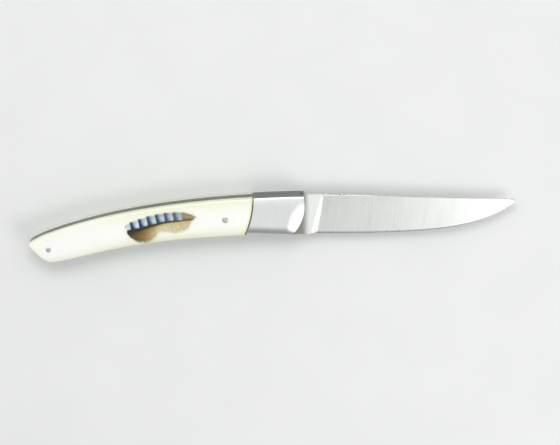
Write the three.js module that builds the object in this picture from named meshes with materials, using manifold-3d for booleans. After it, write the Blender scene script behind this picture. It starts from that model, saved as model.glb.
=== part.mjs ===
// Slip-joint folding pocket knife, open, lying on its right side. Millimetres, +Z up.
// The origin is on the axis of the blade pivot, on the outer face of the right bolster.
// +X runs to the tip of the blade and +Y to its spine.
import * as THREE from 'three';
import { mergeVertices } from 'three/addons/utils/BufferGeometryUtils.js';
import Module from 'manifold-3d';

const wasm = await Module();
wasm.setup();

// Layers across the handle
const slotWidth = 2.8;
const linerThickness = 1.35;
const scaleThickness = 3.25;

// Handle outline, measured from the pivot
const noseReach = 7.4;
const backHeight = 11.15;
const backSlope = 1.1;
const backFrontPull = 65.6;
const backRearSlope = 21;
const backRearPull = 14.1;
const buttLength = 12.5;
const buttDrop = 10.2;
const buttShoulderLength = 7.7;
const buttShoulderRise = 4;
const buttShoulderPull = 3;
const buttTipRadius = 2.4;
const buttCornerLength = 8.4;
const buttCornerDrop = 8.2;
const buttCornerRadius = 3;
const scaleBellyDrop = 6.05;
const bellySlope = 2.3;
const bellyFrontPull = 56.3;
const bellyRearSlope = 5.9;
const bellyRearPull = 16.5;

// Bolsters
const bolsterLength = 13.8;
const jointSlant = 3.3;
const jointBow = 1.4;
const bolsterBellyDrop = 5.45;
const bolsterBellyFall = 0.5;
const frontSlant = 4.9;
const frontBow = 4.6;
const bolsterRoundWidth = 0.6;
const bolsterRoundHeight = 0.9;
const dishAngle = 75;
const dishReach = 7.5;
const dishDepth = 1.35;
const dishRadius = 12;
const dishLengthRadius = 45;

// Crown of the outer faces. The shares are of half the height of the handle.
const crownFlatShare = 0.5;
const crownDrop = 0.6;
const crownReach = 1.15;

// Scales
const scaleRoundWidth = 0.95;
const scaleRoundHeight = 1.1;
const jointGap = 0.04;
const jointBevel = 0.35;

// Blade
const bladeReach = 98.8;
const tipRise = 8.1;
const bladeThickness = 2.4;
const tipThickness = 0.8;
const spineRise = 10.9;
const spineFall = 1.9;
const spinePull = 52.6;
const spineTipLength = 6;
const spineTipSlope = 0.7;
const spineTipPull = 59.6;
const edgeDrop = 6.4;
const bellyStart = 19.9;
const bellyPull = 54;
const tipAngle = 39;
const tipPull = 15.6;
const plungeReach = 10.7;
const plungeSlant = 4.4;
const plungeWidth = 2.6;
const hollowPower = 1.25;
const edgeBevel = 0.5;
const edgeThickness = 0.34;
const tipRadius = 0.25;

// Tang
const closeAngle = 175.5;
const tangClearance = 0.06;
const camLift = 0.64;
const heelInset = 0.25;
const camEnd = 185;
const heelStart = 252;
const heelEnd = 276;
const kickReach = 3.3;
const kickRun = 1.5;
const ricassoDrop = 6.95;
const shoulderGap = 0.2;

// Backspring
const springSideClearance = 0.03;
const springDepth = 4.4;
const springMidDepth = 3.9;
const springTaper = 45;
const springFlatMargin = 0.5;
const springNoseGap = 0.7;
const springNoseRadius = 0.9;
const springArm = 47;
const tipClearance = 0.8;

// Opening stud on the spine of the blade
const studReach = 23.8;
const studRadius = 1.4;
const studHeight = 0.75;
const studShankRadius = 0.75;
const studShankLength = 3;
const fitClearance = 0.04;

// Pins, rivets and washers
const pivotPinRadius = 1.5;
const pivotPinDepth = 2;
const washerRadius = 4.2;
const washerThickness = 0.16;
const fulcrumPinRadius = 1;
const buttPinRadius = 1;
const buttPinInset = 9.4;
const buttPinFall = 2.2;
const scalePinRadius = 1.2;
const scalePinInset = 12.2;
const scalePinRise = 0.9;
const rivetRadius = 0.8;
const rivetDepth = 2;
const rivetInset = 4.2;

// Feather and the clear resin over it. Their outlines are measured from the middle of the scale there.
const inlayReach = 54;
const pocketDepth = 0.8;
const vaneThickness = 0.2;
const shaftRadius = 0.16;
const featherClearance = 0.05;
const vaneTop = [[-15.3, -0.9], [-9.5, 2], [-1.7, 4.4], [5.7, 5.5], [11.5, 5.1], [15.7, 3.3]];
const shaftLine = [[-14.4, -2.2], [-5.8, -0.4], [2, 1.55], [9.4, 2.2], [15.2, 2.7]];
const downBottom = [[-14.3, -2.8], [-12.4, -5.6], [-8.4, -8], [-4.6, -7.6], [-1.4, -4.9], [2.2, -2.9],
  [5.6, -3.5], [8.6, -3.4], [11.2, -2], [13.6, 0.8], [14.7, 2]];
const windowOutline = [[-16.4, -1.8], [-14.6, 0.8], [-9.8, 2.8], [-1.9, 5.2], [6, 6.3], [12.5, 5.8],
  [16.7, 3.7], [16.4, 1.5], [13.9, -0.9], [11.2, -2.9], [7.4, -4.2], [2.6, -4], [-1.1, -6],
  [-4.2, -7.95], [-8, -8.45], [-13.2, -6.5], [-15.7, -3.8]];

// How far a cut runs past the face that it opens
const overcut = 1;

// Facets. Outline points that lie closer together than the shortest step are one point.
const shortestStep = 0.05;
const curveSteps = 26;
const shortSteps = 10;
const roundSteps = 4;
const pinSides = 32;
const bladeStations = 40;
const crownStations = 14;
const crownRows = 3;
const grindRows = 5;

// Layers, from the resting face up
const thickness = slotWidth + 2 * (linerThickness + scaleThickness);
const middle = thickness / 2;
const slotHalf = slotWidth / 2;
const linerOuter = slotHalf + linerThickness;
const faceOuter = middle;

const buttReach = bladeReach + buttLength;

const point = (x, y) => new THREE.Vector2(x, y);
const polar = (radius, degrees) => point(
  radius * Math.cos(THREE.MathUtils.degToRad(degrees)),
  radius * Math.sin(THREE.MathUtils.degToRad(degrees)),
);

// A curve from a to b that leaves a along one angle and reaches b along another
function bend(a, leave, leavePull, b, arrive, arrivePull) {
  const first = polar(leavePull, leave).add(a);
  const second = b.clone().sub(polar(arrivePull, arrive));
  return new THREE.CubicBezierCurve(a, first, second, b);
}

// A shallow arc from a to b that bows by the given height to its right
function bow(a, b, height) {
  const side = b.clone().sub(a).normalize().rotateAround(point(0, 0), -Math.PI / 2);
  const control = a.clone().lerp(b, 0.5).addScaledVector(side, 2 * height);
  return new THREE.QuadraticBezierCurve(a, control, b);
}

// Height of a curve at a place along X
function heightAt(curve, x) {
  const falls = curve.getPoint(0).x > curve.getPoint(1).x;
  let low = 0;
  let high = 1;
  for (let i = 0; i < 40; i++) {
    const t = (low + high) / 2;
    if ((curve.getPoint(t).x > x) === falls) low = t;
    else high = t;
  }
  return curve.getPoint(low).y;
}

// The stretch of a curve between two places along X, as points
function stretch(curve, fromX, toX, steps) {
  return Array.from({ length: steps + 1 }, (_, i) => {
    const x = THREE.MathUtils.lerp(fromX, toX, i / steps);
    return point(x, heightAt(curve, x));
  });
}

// Points in order, without repeats where one stretch ends on the next
function joined(...stretches) {
  const all = stretches.flat();
  return all.filter((p, i) => p.distanceTo(all[(i + all.length - 1) % all.length]) > shortestStep);
}

// The curve that rounds the corner between two lines through corner
function corner(from, at, to, radius, steps) {
  const start = at.clone().add(from.clone().sub(at).setLength(radius));
  const end = at.clone().add(to.clone().sub(at).setLength(radius));
  return new THREE.QuadraticBezierCurve(start, at, end).getPoints(steps);
}

function toSolid(geometry) {
  for (const name of Object.keys(geometry.attributes)) {
    if (name !== 'position') geometry.deleteAttribute(name);
  }
  const merged = mergeVertices(geometry, 1e-5);
  return new wasm.Manifold(new wasm.Mesh({
    numProp: 3,
    vertProperties: new Float32Array(merged.attributes.position.array),
    triVerts: new Uint32Array(merged.index.array),
  }));
}

function toGeometry(solid) {
  const mesh = solid.getMesh();
  const geometry = new THREE.BufferGeometry();
  geometry.setAttribute('position', new THREE.BufferAttribute(new Float32Array(mesh.vertProperties), 3));
  geometry.setIndex(new THREE.BufferAttribute(new Uint32Array(mesh.triVerts), 1));
  const flat = geometry.toNonIndexed();
  flat.computeVertexNormals();
  return flat;
}

// A flat plate between two heights from the middle of the knife
function plate(outline, from, to) {
  const low = Math.min(from, to);
  const depth = Math.abs(to - from);
  const geometry = new THREE.ExtrudeGeometry(new THREE.Shape(outline), { depth, bevelEnabled: false });
  return toSolid(geometry.translate(0, 0, middle + low));
}

// A plate on one side of the knife whose outer edges are rounded
function roundedPlate(outline, side, inner, outer, width, height) {
  const flat = 2 * (outer - inner - height);
  const geometry = new THREE.ExtrudeGeometry(new THREE.Shape(outline), {
    depth: flat, bevelThickness: height, bevelSize: width, bevelOffset: -width, bevelSegments: roundSteps,
  });
  const both = toSolid(geometry.translate(0, 0, middle + side * inner - flat / 2));
  return both.intersect(halfSpace(side, inner)).intersect(crownedBar(side, inner, outer));
}

// One section across the handle: flat along its middle, falling away towards belly and back
function crownRing(x, side, inner, outer) {
  const high = heightAt(back, x);
  const low = heightAt(x > jointBottom.x ? bolsterBelly : belly, x);
  const half = (high - low) / 2;
  const towardsBack = Array.from({ length: crownRows + 1 },
    (_, row) => THREE.MathUtils.lerp(crownFlatShare, crownReach, row / crownRows));
  const rises = [...towardsBack.map((rise) => -rise).reverse(), ...towardsBack];
  const face = rises.map((rise) => {
    const share = (Math.abs(rise) - crownFlatShare) / (1 - crownFlatShare);
    return [rise * half, outer - crownDrop * share ** 2];
  });
  const ring = [[-crownReach * half, inner], ...face, [crownReach * half, inner]];
  const ordered = side > 0 ? ring : ring.reverse();
  const centre = (high + low) / 2;
  return [[0, inner], ...ordered].map(([y, z]) => new THREE.Vector3(x, centre + y, middle + side * z));
}

// A bar along the whole handle whose outer face is crowned
function crownedBar(side, inner, outer) {
  return loft(Array.from({ length: crownStations + 1 }, (_, i) => {
    const x = THREE.MathUtils.lerp(-buttReach - overcut, noseReach + overcut, i / crownStations);
    return crownRing(x, side, inner, outer);
  }));
}

// Everything on one side of the knife that is further out than inner
function halfSpace(side, inner) {
  const span = 4 * buttReach;
  const box = new THREE.BoxGeometry(span, span, span);
  return toSolid(box.translate(0, 0, middle + side * (inner + span / 2)));
}

// A round bar along Z between two heights from the middle of the knife
function bar(centre, radius, from, to) {
  const bar = new THREE.CylinderGeometry(radius, radius, Math.abs(to - from), pinSides);
  bar.rotateX(Math.PI / 2);
  return toSolid(bar.translate(centre.x, centre.y, middle + (from + to) / 2));
}

// A closed solid through rings that each start at their lowest point and run up one side and down the other
function loft(rings) {
  const count = rings[0].length;
  const last = (rings.length - 1) * count;
  const faces = [];
  for (let i = 0; i < last; i += count) {
    for (let j = 0; j < count; j++) {
      const next = (j + 1) % count;
      faces.push(i + j, i + next + count, i + next, i + j, i + j + count, i + next + count);
    }
  }
  for (const [base, flip] of [[0, false], [last, true]]) {
    const cap = [[0, 1, count - 1]];
    for (let j = 1; j < (count - 1) / 2; j++) {
      cap.push([j, j + 1, count - j - 1], [j, count - j - 1, count - j]);
    }
    for (const [a, b, c] of cap) faces.push(base + a, base + (flip ? c : b), base + (flip ? b : c));
  }
  const places = rings.flat().flatMap((p) => p.toArray());
  const geometry = new THREE.BufferGeometry();
  geometry.setAttribute('position', new THREE.Float32BufferAttribute(places, 3));
  geometry.setIndex(faces);
  return toSolid(geometry);
}

// Outline of the handle
const backStart = point(noseReach, backHeight);
const buttTip = point(-buttReach, -buttDrop);
const buttShoulder = point(-buttReach + buttShoulderLength, -buttDrop + buttShoulderRise);
const buttCorner = point(-buttReach + buttCornerLength, -buttDrop - buttCornerDrop);
const back = bend(backStart, 180 + backSlope, backFrontPull, buttShoulder, 180 + backRearSlope, backRearPull);
const jointTop = point(-bolsterLength, heightAt(back, -bolsterLength));
const jointBottom = point(-bolsterLength - jointSlant, -bolsterBellyDrop);
const bellyStartPoint = point(jointBottom.x, -scaleBellyDrop);
const belly = bend(bellyStartPoint, 180 + bellySlope, bellyFrontPull, buttCorner, 180 + bellyRearSlope,
  bellyRearPull);
const frontBottom = point(noseReach - frontSlant, -bolsterBellyDrop - bolsterBellyFall);
const front = bow(frontBottom, backStart, frontBow / 2);
const joint = bow(jointBottom, jointTop, jointBow / 2);
const bolsterBelly = new THREE.LineCurve(jointBottom, frontBottom);

// The butt, from the end of the back round its tip to the start of the belly
const shoulderArc = new THREE.QuadraticBezierCurve(
  buttShoulder,
  buttShoulder.clone().add(polar(buttShoulderPull, 180 + backRearSlope)),
  buttTip,
).getPoints(shortSteps).filter((p) => p.distanceTo(buttTip) > 1.2 * buttTipRadius);
const beforeCorner = stretch(belly, buttCorner.x + buttCornerRadius, buttCorner.x, 1)[0];
const butt = joined(
  shoulderArc,
  corner(shoulderArc.at(-1), buttTip, buttCorner, buttTipRadius, roundSteps),
  corner(buttTip, buttCorner, beforeCorner, buttCornerRadius, roundSteps),
);

function backPoints(fromX, toX, steps = curveSteps) {
  return stretch(back, fromX, toX, steps);
}

function bellyPoints(fromX, toX, steps = curveSteps) {
  return stretch(belly, fromX, toX, steps);
}

const bellyEnd = buttCorner.x + buttCornerRadius;
const handleOutline = joined(
  backPoints(noseReach, buttShoulder.x),
  butt,
  bellyPoints(bellyEnd, jointBottom.x),
  [jointBottom],
  front.getPoints(shortSteps),
);
const bolsterOutline = joined(
  backPoints(noseReach, jointTop.x, shortSteps),
  joint.getPoints(shortSteps).reverse(),
  front.getPoints(shortSteps),
);

// Pin centres
const pivot = point(0, 0);
const fulcrumPin = point(-springArm, heightAt(back, -springArm) - springMidDepth / 2);
const buttPin = point(-buttReach + buttPinInset, -buttDrop - buttPinFall);
const scalePin = point(jointTop.x - scalePinInset, scalePinRise);
const rivets = {
  back: point(jointTop.x + rivetInset, heightAt(back, jointTop.x + rivetInset) - rivetInset),
  belly: point(jointBottom.x + rivetInset + rivetRadius, jointBottom.y + rivetInset),
};

const springUnder = heightAt(back, 0) - springDepth;
const tangFlat = springUnder - tangClearance;
const camRadius = springUnder + camLift;
const tangCorner = Math.sqrt(camRadius ** 2 - tangFlat ** 2);
const heelRadius = bolsterBellyDrop + bolsterBellyFall - heelInset;
const springNose = noseReach - springNoseGap;

// A hole for a pin, cut past both faces of the layers between two distances from the middle
function pinHole(at, radius, side, inner, outer) {
  return bar(at, radius + fitClearance, side * (inner - overcut), side * (outer + overcut));
}

// A blind hole for a pin that starts at the liner's outer face
function blindHole(at, radius, side, depth) {
  const end = linerOuter + depth + fitClearance;
  return bar(at, radius + fitClearance, side * (linerOuter - overcut), side * end);
}

// A hole for a pin through what lies in the slot
const slotHole = (at, radius) => bar(at, radius + fitClearance, -slotWidth, slotWidth);

const cut = (blank, tools) => tools.reduce((solid, tool) => solid.subtract(tool), blank);

function liner(side) {
  const pins = [[pivot, pivotPinRadius], [fulcrumPin, fulcrumPinRadius], [buttPin, buttPinRadius],
    [scalePin, scalePinRadius], [rivets.back, rivetRadius], [rivets.belly, rivetRadius]];
  const blank = plate(handleOutline, side * slotHalf, side * linerOuter);
  return cut(blank, pins.map(([at, radius]) => pinHole(at, radius, side, slotHalf, linerOuter)));
}

// The hollow that a crowned wheel leaves along the front edge of a bolster's outer face
function dish(side) {
  const along = polar(1, dishAngle);
  const across = polar(1, dishAngle - 90);
  const hub = dishLengthRadius - dishRadius;
  const wheel = new THREE.TorusGeometry(hub, dishRadius, 2 * pinSides, 4 * pinSides);
  wheel.applyMatrix4(new THREE.Matrix4().makeBasis(
    new THREE.Vector3(along.x, along.y, 0),
    new THREE.Vector3(0, 0, 1),
    new THREE.Vector3(across.x, across.y, 0),
  ));
  const height = side * (faceOuter - dishDepth + dishLengthRadius);
  return toSolid(wheel.translate(across.x * dishReach, across.y * dishReach, middle + height));
}

function bolster(side) {
  const round = [bolsterRoundWidth, bolsterRoundHeight];
  return cut(roundedPlate(bolsterOutline, side, linerOuter, faceOuter, ...round), [
    dish(side),
    plate(rearOfJoint(0), side * (linerOuter - overcut), side * (faceOuter + overcut)),
    blindHole(pivot, pivotPinRadius, side, pivotPinDepth),
    blindHole(rivets.back, rivetRadius, side, rivetDepth),
    blindHole(rivets.belly, rivetRadius, side, rivetDepth),
  ]);
}

// The area behind the bolster joint, moved back by a gap
function rearOfJoint(gap) {
  const high = 2 * backHeight;
  const line = joint.getPoints(shortSteps).map((p) => point(p.x - gap, p.y));
  return [
    point(line[0].x, -high), ...line, point(line.at(-1).x, high), point(-2 * buttReach, high),
    point(-2 * buttReach, -high),
  ];
}

// The bevel along the front edge of a scale, where it meets its bolster. It runs out past both ends.
function jointGroove(side) {
  const points = joint.getPoints(2 * shortSteps);
  const reach = scaleRoundWidth + overcut;
  const runOut = (end, before) => end.clone().add(end.clone().sub(before).setLength(reach));
  const line = [runOut(points[0], points[1]), ...points, runOut(points.at(-1), points.at(-2))];
  const top = middle + side * (faceOuter + jointBevel);
  const bottom = middle + side * (faceOuter - jointBevel);
  return loft(line.map((p) => {
    const x = p.x - jointGap;
    const rims = [1, -1].map((way) => new THREE.Vector3(x + way * 2 * jointBevel, p.y, top));
    return [new THREE.Vector3(x, p.y, bottom), ...(side > 0 ? rims : rims.reverse())];
  }));
}

const scaleOutline = joined(
  backPoints(noseReach, buttShoulder.x),
  butt,
  bellyPoints(bellyEnd, bellyStartPoint.x),
  [point(noseReach, -scaleBellyDrop)],
);

function scaleBlank(side) {
  return roundedPlate(scaleOutline, side, linerOuter, faceOuter, scaleRoundWidth, scaleRoundHeight);
}

function scale(side) {
  const behind = plate(rearOfJoint(jointGap), side * (linerOuter - overcut), side * (faceOuter + overcut));
  return cut(scaleBlank(side).intersect(behind), [
    jointGroove(side),
    pinHole(buttPin, buttPinRadius, side, linerOuter, faceOuter),
    pinHole(scalePin, scalePinRadius, side, linerOuter, faceOuter),
  ]);
}

// Feather and window outlines, moved to their place on the scale
const inlay = point(-inlayReach, (heightAt(back, -inlayReach) + heightAt(belly, -inlayReach)) / 2);
const placed = (list) => list.map(([x, y]) => point(x, y).add(inlay));
const pocketFloor = faceOuter - pocketDepth;
const vaneTopPoints = new THREE.SplineCurve(placed(vaneTop)).getPoints(20);
const shaftPoints = new THREE.SplineCurve(placed(shaftLine)).getPoints(20);
const downPoints = new THREE.SplineCurve(placed(downBottom)).getPoints(28);
const shaftSide = shaftRadius + featherClearance;
const besideShaft = (rise) => shaftPoints.map((p) => point(p.x, p.y + rise)).reverse();
const barredVaneOutline = [...vaneTopPoints, ...besideShaft(shaftSide)];
const downyVaneOutline = [...downPoints, ...besideShaft(-shaftSide)];

function windowPoints(inset) {
  const closed = placed([...windowOutline, windowOutline[0]]);
  const loop = new THREE.SplineCurve(closed).getPoints(60).slice(0, -1);
  return loop.map((p) => p.add(inlay.clone().sub(p).setLength(inset)));
}

function featherVane(outline) {
  return plate(outline, pocketFloor, pocketFloor + vaneThickness);
}

// The feather's shaft, round below and tapering to its tip
function featherShaft() {
  const rings = shaftPoints.map((p, i) => {
    const radius = shaftRadius * (1 - 0.6 * i / (shaftPoints.length - 1));
    const floor = middle + pocketFloor;
    return [
      new THREE.Vector3(p.x, p.y, floor),
      new THREE.Vector3(p.x, p.y - radius, floor + radius),
      new THREE.Vector3(p.x, p.y - radius / 2, floor + 2 * radius),
      new THREE.Vector3(p.x, p.y + radius / 2, floor + 2 * radius),
      new THREE.Vector3(p.x, p.y + radius, floor + radius),
    ];
  });
  return loft(rings);
}

function leftScaleWithPocket() {
  return cut(scale(1), [plate(windowPoints(0), pocketFloor, faceOuter + overcut)]);
}

function resinWindow() {
  const floor = pocketFloor + 2 * shaftRadius + featherClearance;
  const cast = plate(windowPoints(featherClearance), floor, faceOuter + overcut);
  return cast.intersect(scaleBlank(1));
}

// The spring's underside is flat over the tang. Behind that it follows the back and gets a little thinner.
function springUnderside(fromX) {
  const flatEnd = -tangCorner - springFlatMargin;
  const deepest = heightAt(back, flatEnd) - springUnder;
  return Array.from({ length: curveSteps + 1 }, (_, i) => {
    const x = THREE.MathUtils.lerp(fromX, flatEnd, i / curveSteps);
    const slope = heightAt(back, x + 0.5) - heightAt(back, x - 0.5);
    const taper = THREE.MathUtils.smoothstep(-x, -flatEnd, springTaper);
    const depth = THREE.MathUtils.lerp(deepest, springMidDepth, taper);
    return point(x, heightAt(back, x) - depth * Math.hypot(1, slope));
  });
}

// The spring ends in a tail that fills the butt and is cut away in an arc that the tip of the blade clears
function backspring() {
  const tailRadius = Math.hypot(bladeReach, tipRise) + tipClearance;
  const under = springUnderside(-tailRadius).filter((p) => p.length() < tailRadius - 0.5);
  const arcTop = THREE.MathUtils.radToDeg(under[0].angle());
  const arcBottom = angleOnBelly(tailRadius);
  const pocket = Array.from({ length: shortSteps + 1 },
    (_, i) => polar(tailRadius, THREE.MathUtils.lerp(arcBottom, arcTop, i / shortSteps)));
  const noseLow = point(springNose, springUnder);
  const noseHigh = point(springNose, heightAt(back, springNose));
  const noseBack = backPoints(springNose - springNoseRadius, springNose, 1)[0];
  const outline = joined(
    [noseBack],
    backPoints(springNose - springNoseRadius, buttShoulder.x),
    butt,
    bellyPoints(bellyEnd, pocket[0].x, 3),
    pocket,
    under,
    [noseLow],
    corner(noseLow, noseHigh, noseBack, springNoseRadius, roundSteps),
  );
  const half = slotHalf - springSideClearance;
  return cut(plate(outline, -half, half), [
    slotHole(fulcrumPin, fulcrumPinRadius),
    slotHole(buttPin, buttPinRadius),
  ]);
}

// The angle at which a circle round the pivot meets the belly
function angleOnBelly(radius) {
  let low = -radius;
  let high = -radius / 2;
  for (let i = 0; i < 40; i++) {
    const x = (low + high) / 2;
    if (Math.hypot(x, heightAt(belly, x)) > radius) low = x;
    else high = x;
  }
  return THREE.MathUtils.radToDeg(point(low, heightAt(belly, low)).angle());
}

// Edge and spine of the blade, from the plunge to the tip
const tip = point(bladeReach, tipRise);
const spineEnd = point(bladeReach - spineTipLength, spineRise - spineFall);
const spineStart = point(springNose + shoulderGap, spineRise);
const spine = bend(spineStart, 0, spinePull, spineEnd, -spineTipSlope, spineTipPull);
const plungeTop = point(plungeReach + plungeSlant, heightAt(spine, plungeReach + plungeSlant));
const plungeBottom = point(plungeReach, -edgeDrop);
const edgeBelly = bend(point(bellyStart, -edgeDrop), 0, bellyPull, tip, tipAngle, tipPull);
const spineTip = new THREE.QuadraticBezierCurve(
  spineEnd,
  spineEnd.clone().add(polar(0.6 * spineTipLength, -spineTipSlope)),
  tip,
);

function edgePoint(share) {
  const x = THREE.MathUtils.lerp(plungeBottom.x, bladeReach - tipRadius, share);
  return point(x, x < bellyStart ? -edgeDrop : heightAt(edgeBelly, x));
}

function spinePoint(share) {
  const x = THREE.MathUtils.lerp(plungeTop.x, bladeReach - tipRadius, share);
  return point(x, x < spineEnd.x ? heightAt(spine, x) : heightAt(spineTip, x));
}

// Half the thickness of the ground blade at a share of its length and a share of its height
function halfThickness(share, rise) {
  const length = bladeReach - plungeReach;
  const full = bladeThickness / 2;
  const atSpine = THREE.MathUtils.lerp(full, tipThickness / 2, share ** 1.4);
  const ground = THREE.MathUtils.lerp(edgeThickness / 2, atSpine, rise ** hollowPower);
  const plunge = THREE.MathUtils.smoothstep(share * length, 0, plungeWidth);
  return THREE.MathUtils.lerp(full * 0.98, ground, plunge);
}

function bladeRing(share, setback = 0) {
  const low = edgePoint(share);
  const high = spinePoint(share);
  const bevel = Math.min(edgeBevel / low.distanceTo(high), 0.3);
  const right = [];
  const left = [];
  for (let row = 0; row <= grindRows; row++) {
    const rise = THREE.MathUtils.lerp(bevel, 1, row / grindRows);
    const at = low.clone().lerp(high, rise);
    const half = halfThickness(share, rise);
    left.push(new THREE.Vector3(at.x - setback, at.y, middle + half));
    right.push(new THREE.Vector3(at.x - setback, at.y, middle - half));
  }
  return [new THREE.Vector3(low.x - setback, low.y, middle), ...left, ...right.reverse()];
}

// The tang, with its flat under the spring, its cam, its heel and the kick that the closed blade rests on
function tangOutline() {
  const cornerAngle = THREE.MathUtils.radToDeg(point(-tangCorner, tangFlat).angle());
  const cam = Array.from({ length: shortSteps + 1 },
    (_, i) => polar(camRadius, THREE.MathUtils.lerp(cornerAngle, camEnd, i / shortSteps)));
  const ramp = Array.from({ length: shortSteps + 1 }, (_, i) => {
    const share = i / shortSteps;
    const radius = THREE.MathUtils.lerp(camRadius, heelRadius, THREE.MathUtils.smoothstep(share, 0, 1));
    return polar(radius, THREE.MathUtils.lerp(camEnd, heelStart, share));
  });
  const closed = THREE.MathUtils.degToRad(180 - closeAngle);
  const kickDrop = (tangFlat + kickReach * Math.sin(closed)) / Math.cos(closed);
  const kick = point(kickReach, -kickDrop);
  const heel = [polar(heelRadius, (heelStart + heelEnd) / 2), polar(heelRadius, heelEnd)];
  const rise = new THREE.QuadraticBezierCurve(heel[1], point(kickReach - kickRun, -heelRadius - 0.1), kick);
  const shoulder = point(springNose + shoulderGap, tangFlat);
  return joined(
    [shoulder, point(-tangCorner, tangFlat)],
    cam,
    ramp,
    heel,
    rise.getPoints(roundSteps),
    [point(plungeReach - 0.5, -ricassoDrop), plungeBottom],
    stretch(spine, plungeTop.x, spineStart.x, roundSteps),
  );
}

function blade() {
  const full = bladeThickness / 2;
  const rings = [bladeRing(0, 1)];
  for (let i = 0; i <= bladeStations; i++) {
    const share = i / bladeStations;
    rings.push(bladeRing(THREE.MathUtils.lerp(share ** 1.5, share, 0.4)));
  }
  const ground = loft(rings);
  const tang = plate(tangOutline(), -full, full);
  return cut(tang.add(ground), [slotHole(pivot, pivotPinRadius), studBore()]);
}

const studSeat = heightAt(spine, studReach);

function studBore() {
  const bore = new THREE.CylinderGeometry(studShankRadius + fitClearance, studShankRadius + fitClearance,
    2 * studShankLength, pinSides);
  return toSolid(bore.translate(studReach, studSeat - fitClearance, middle));
}

// The stud: a low dome on a flat head, on a shank that is pressed into the spine
function openingStud() {
  const lift = 0.03;
  const profile = [
    point(0, lift - studShankLength),
    point(studShankRadius, lift - studShankLength),
    point(studShankRadius, lift),
    point(studRadius, lift),
    point(studRadius, studHeight * 0.5),
    point(studRadius * 0.8, studHeight * 0.84),
    point(studRadius * 0.45, studHeight * 0.97),
    point(0, studHeight),
  ];
  return toSolid(new THREE.LatheGeometry(profile, pinSides).translate(studReach, studSeat, middle));
}

function washer(side) {
  const gap = (slotWidth - bladeThickness) / 2 - washerThickness;
  const inner = side * (bladeThickness / 2 + gap / 2);
  const outer = inner + side * washerThickness;
  return cut(bar(pivot, washerRadius, inner, outer), [slotHole(pivot, pivotPinRadius)]);
}

const pivotPinEnd = linerOuter + pivotPinDepth;

// Colours and finishes
const steel = { color: 0xb9bcb8, metalness: 1, roughness: 0.35 };
const darkSteel = { color: 0x8d918e, metalness: 1, roughness: 0.3 };
const resin = { color: 0xf4f5e6, metalness: 0, roughness: 0.2 };
const bronze = { color: 0xb08d57, metalness: 1, roughness: 0.35 };
const clear = { color: 0xf6f7ee, metalness: 0, roughness: 0.08, transparent: true, opacity: 0.35 };

const knife = new THREE.Group();

function addPiece(name, solid, finish) {
  const mesh = new THREE.Mesh(toGeometry(solid), new THREE.MeshStandardMaterial(finish));
  mesh.name = name;
  knife.add(mesh);
}

addPiece('blade', blade(), steel);
addPiece('opening_stud', openingStud(), steel);
addPiece('backspring', backspring(), darkSteel);
addPiece('pivot_pin', bar(pivot, pivotPinRadius, -pivotPinEnd, pivotPinEnd), steel);
addPiece('fulcrum_pin', bar(fulcrumPin, fulcrumPinRadius, -linerOuter, linerOuter), steel);
addPiece('butt_pin', bar(buttPin, buttPinRadius, -faceOuter, faceOuter), steel);
for (const [name, side] of [['left', 1], ['right', -1]]) {
  addPiece(`${name}_liner`, liner(side), darkSteel);
  addPiece(`${name}_bolster`, bolster(side), steel);
  addPiece(`${name}_scale`, side > 0 ? leftScaleWithPocket() : scale(side), resin);
  addPiece(`${name}_washer`, washer(side), bronze);
  addPiece(`${name}_scale_pin`, bar(scalePin, scalePinRadius, side * slotHalf, side * faceOuter), steel);
  for (const [place, at] of Object.entries(rivets)) {
    addPiece(`${name}_bolster_rivet_${place}`, bar(at, rivetRadius, side * slotHalf,
      side * (linerOuter + rivetDepth)), steel);
  }
}
addPiece('feather_barred_vane', featherVane(barredVaneOutline), { color: 0x4f7390, roughness: 0.6 });
addPiece('feather_downy_vane', featherVane(downyVaneOutline), { color: 0x8a744c, roughness: 0.8 });
addPiece('feather_shaft', featherShaft(), { color: 0x2c2721, roughness: 0.4 });
addPiece('resin_window', resinWindow(), clear);

export default knife;
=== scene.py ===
# Slip-joint folding pocket knife, open, on its right side on pale paper under a soft studio light.
# Shapes are worked out in millimetres, as in the CAD model, and turned to metres when a mesh is made.
import math
import random
from functools import partial

import bmesh
import bpy
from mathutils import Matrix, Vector


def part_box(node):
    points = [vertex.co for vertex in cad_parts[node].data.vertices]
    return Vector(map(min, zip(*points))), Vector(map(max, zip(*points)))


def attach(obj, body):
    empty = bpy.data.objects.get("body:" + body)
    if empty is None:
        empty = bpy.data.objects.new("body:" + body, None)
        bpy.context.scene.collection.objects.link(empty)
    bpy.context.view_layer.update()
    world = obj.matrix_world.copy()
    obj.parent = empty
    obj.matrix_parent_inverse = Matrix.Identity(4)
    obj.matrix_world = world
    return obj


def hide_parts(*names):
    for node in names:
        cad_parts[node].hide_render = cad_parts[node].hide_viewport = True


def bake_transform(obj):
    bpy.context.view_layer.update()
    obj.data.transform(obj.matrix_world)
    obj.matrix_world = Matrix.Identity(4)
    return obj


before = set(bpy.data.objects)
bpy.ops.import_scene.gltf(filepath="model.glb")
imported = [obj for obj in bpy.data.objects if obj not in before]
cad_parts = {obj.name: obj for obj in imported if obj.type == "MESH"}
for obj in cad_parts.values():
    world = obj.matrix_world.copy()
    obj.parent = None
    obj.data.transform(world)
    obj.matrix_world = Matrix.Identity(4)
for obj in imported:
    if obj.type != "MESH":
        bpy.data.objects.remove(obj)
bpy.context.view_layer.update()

MM = 0.001
random.seed(7)

# How often a search halves its range, how near two points are one, and a length of nearly nothing
HALVINGS = 34
SAME_POINT = 0.01
TINY = 1e-6

# Layers across the handle
MIDDLE = 6.0
LINER_OUTER = 2.75
FACE_OUTER = 6.0

# Handle outline, from the pivot
NOSE_REACH = 7.4
BACK_HEIGHT = 11.15
BACK_REAR_ANGLE = 201.0
BACK_REAR_PULL = 14.1
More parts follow.
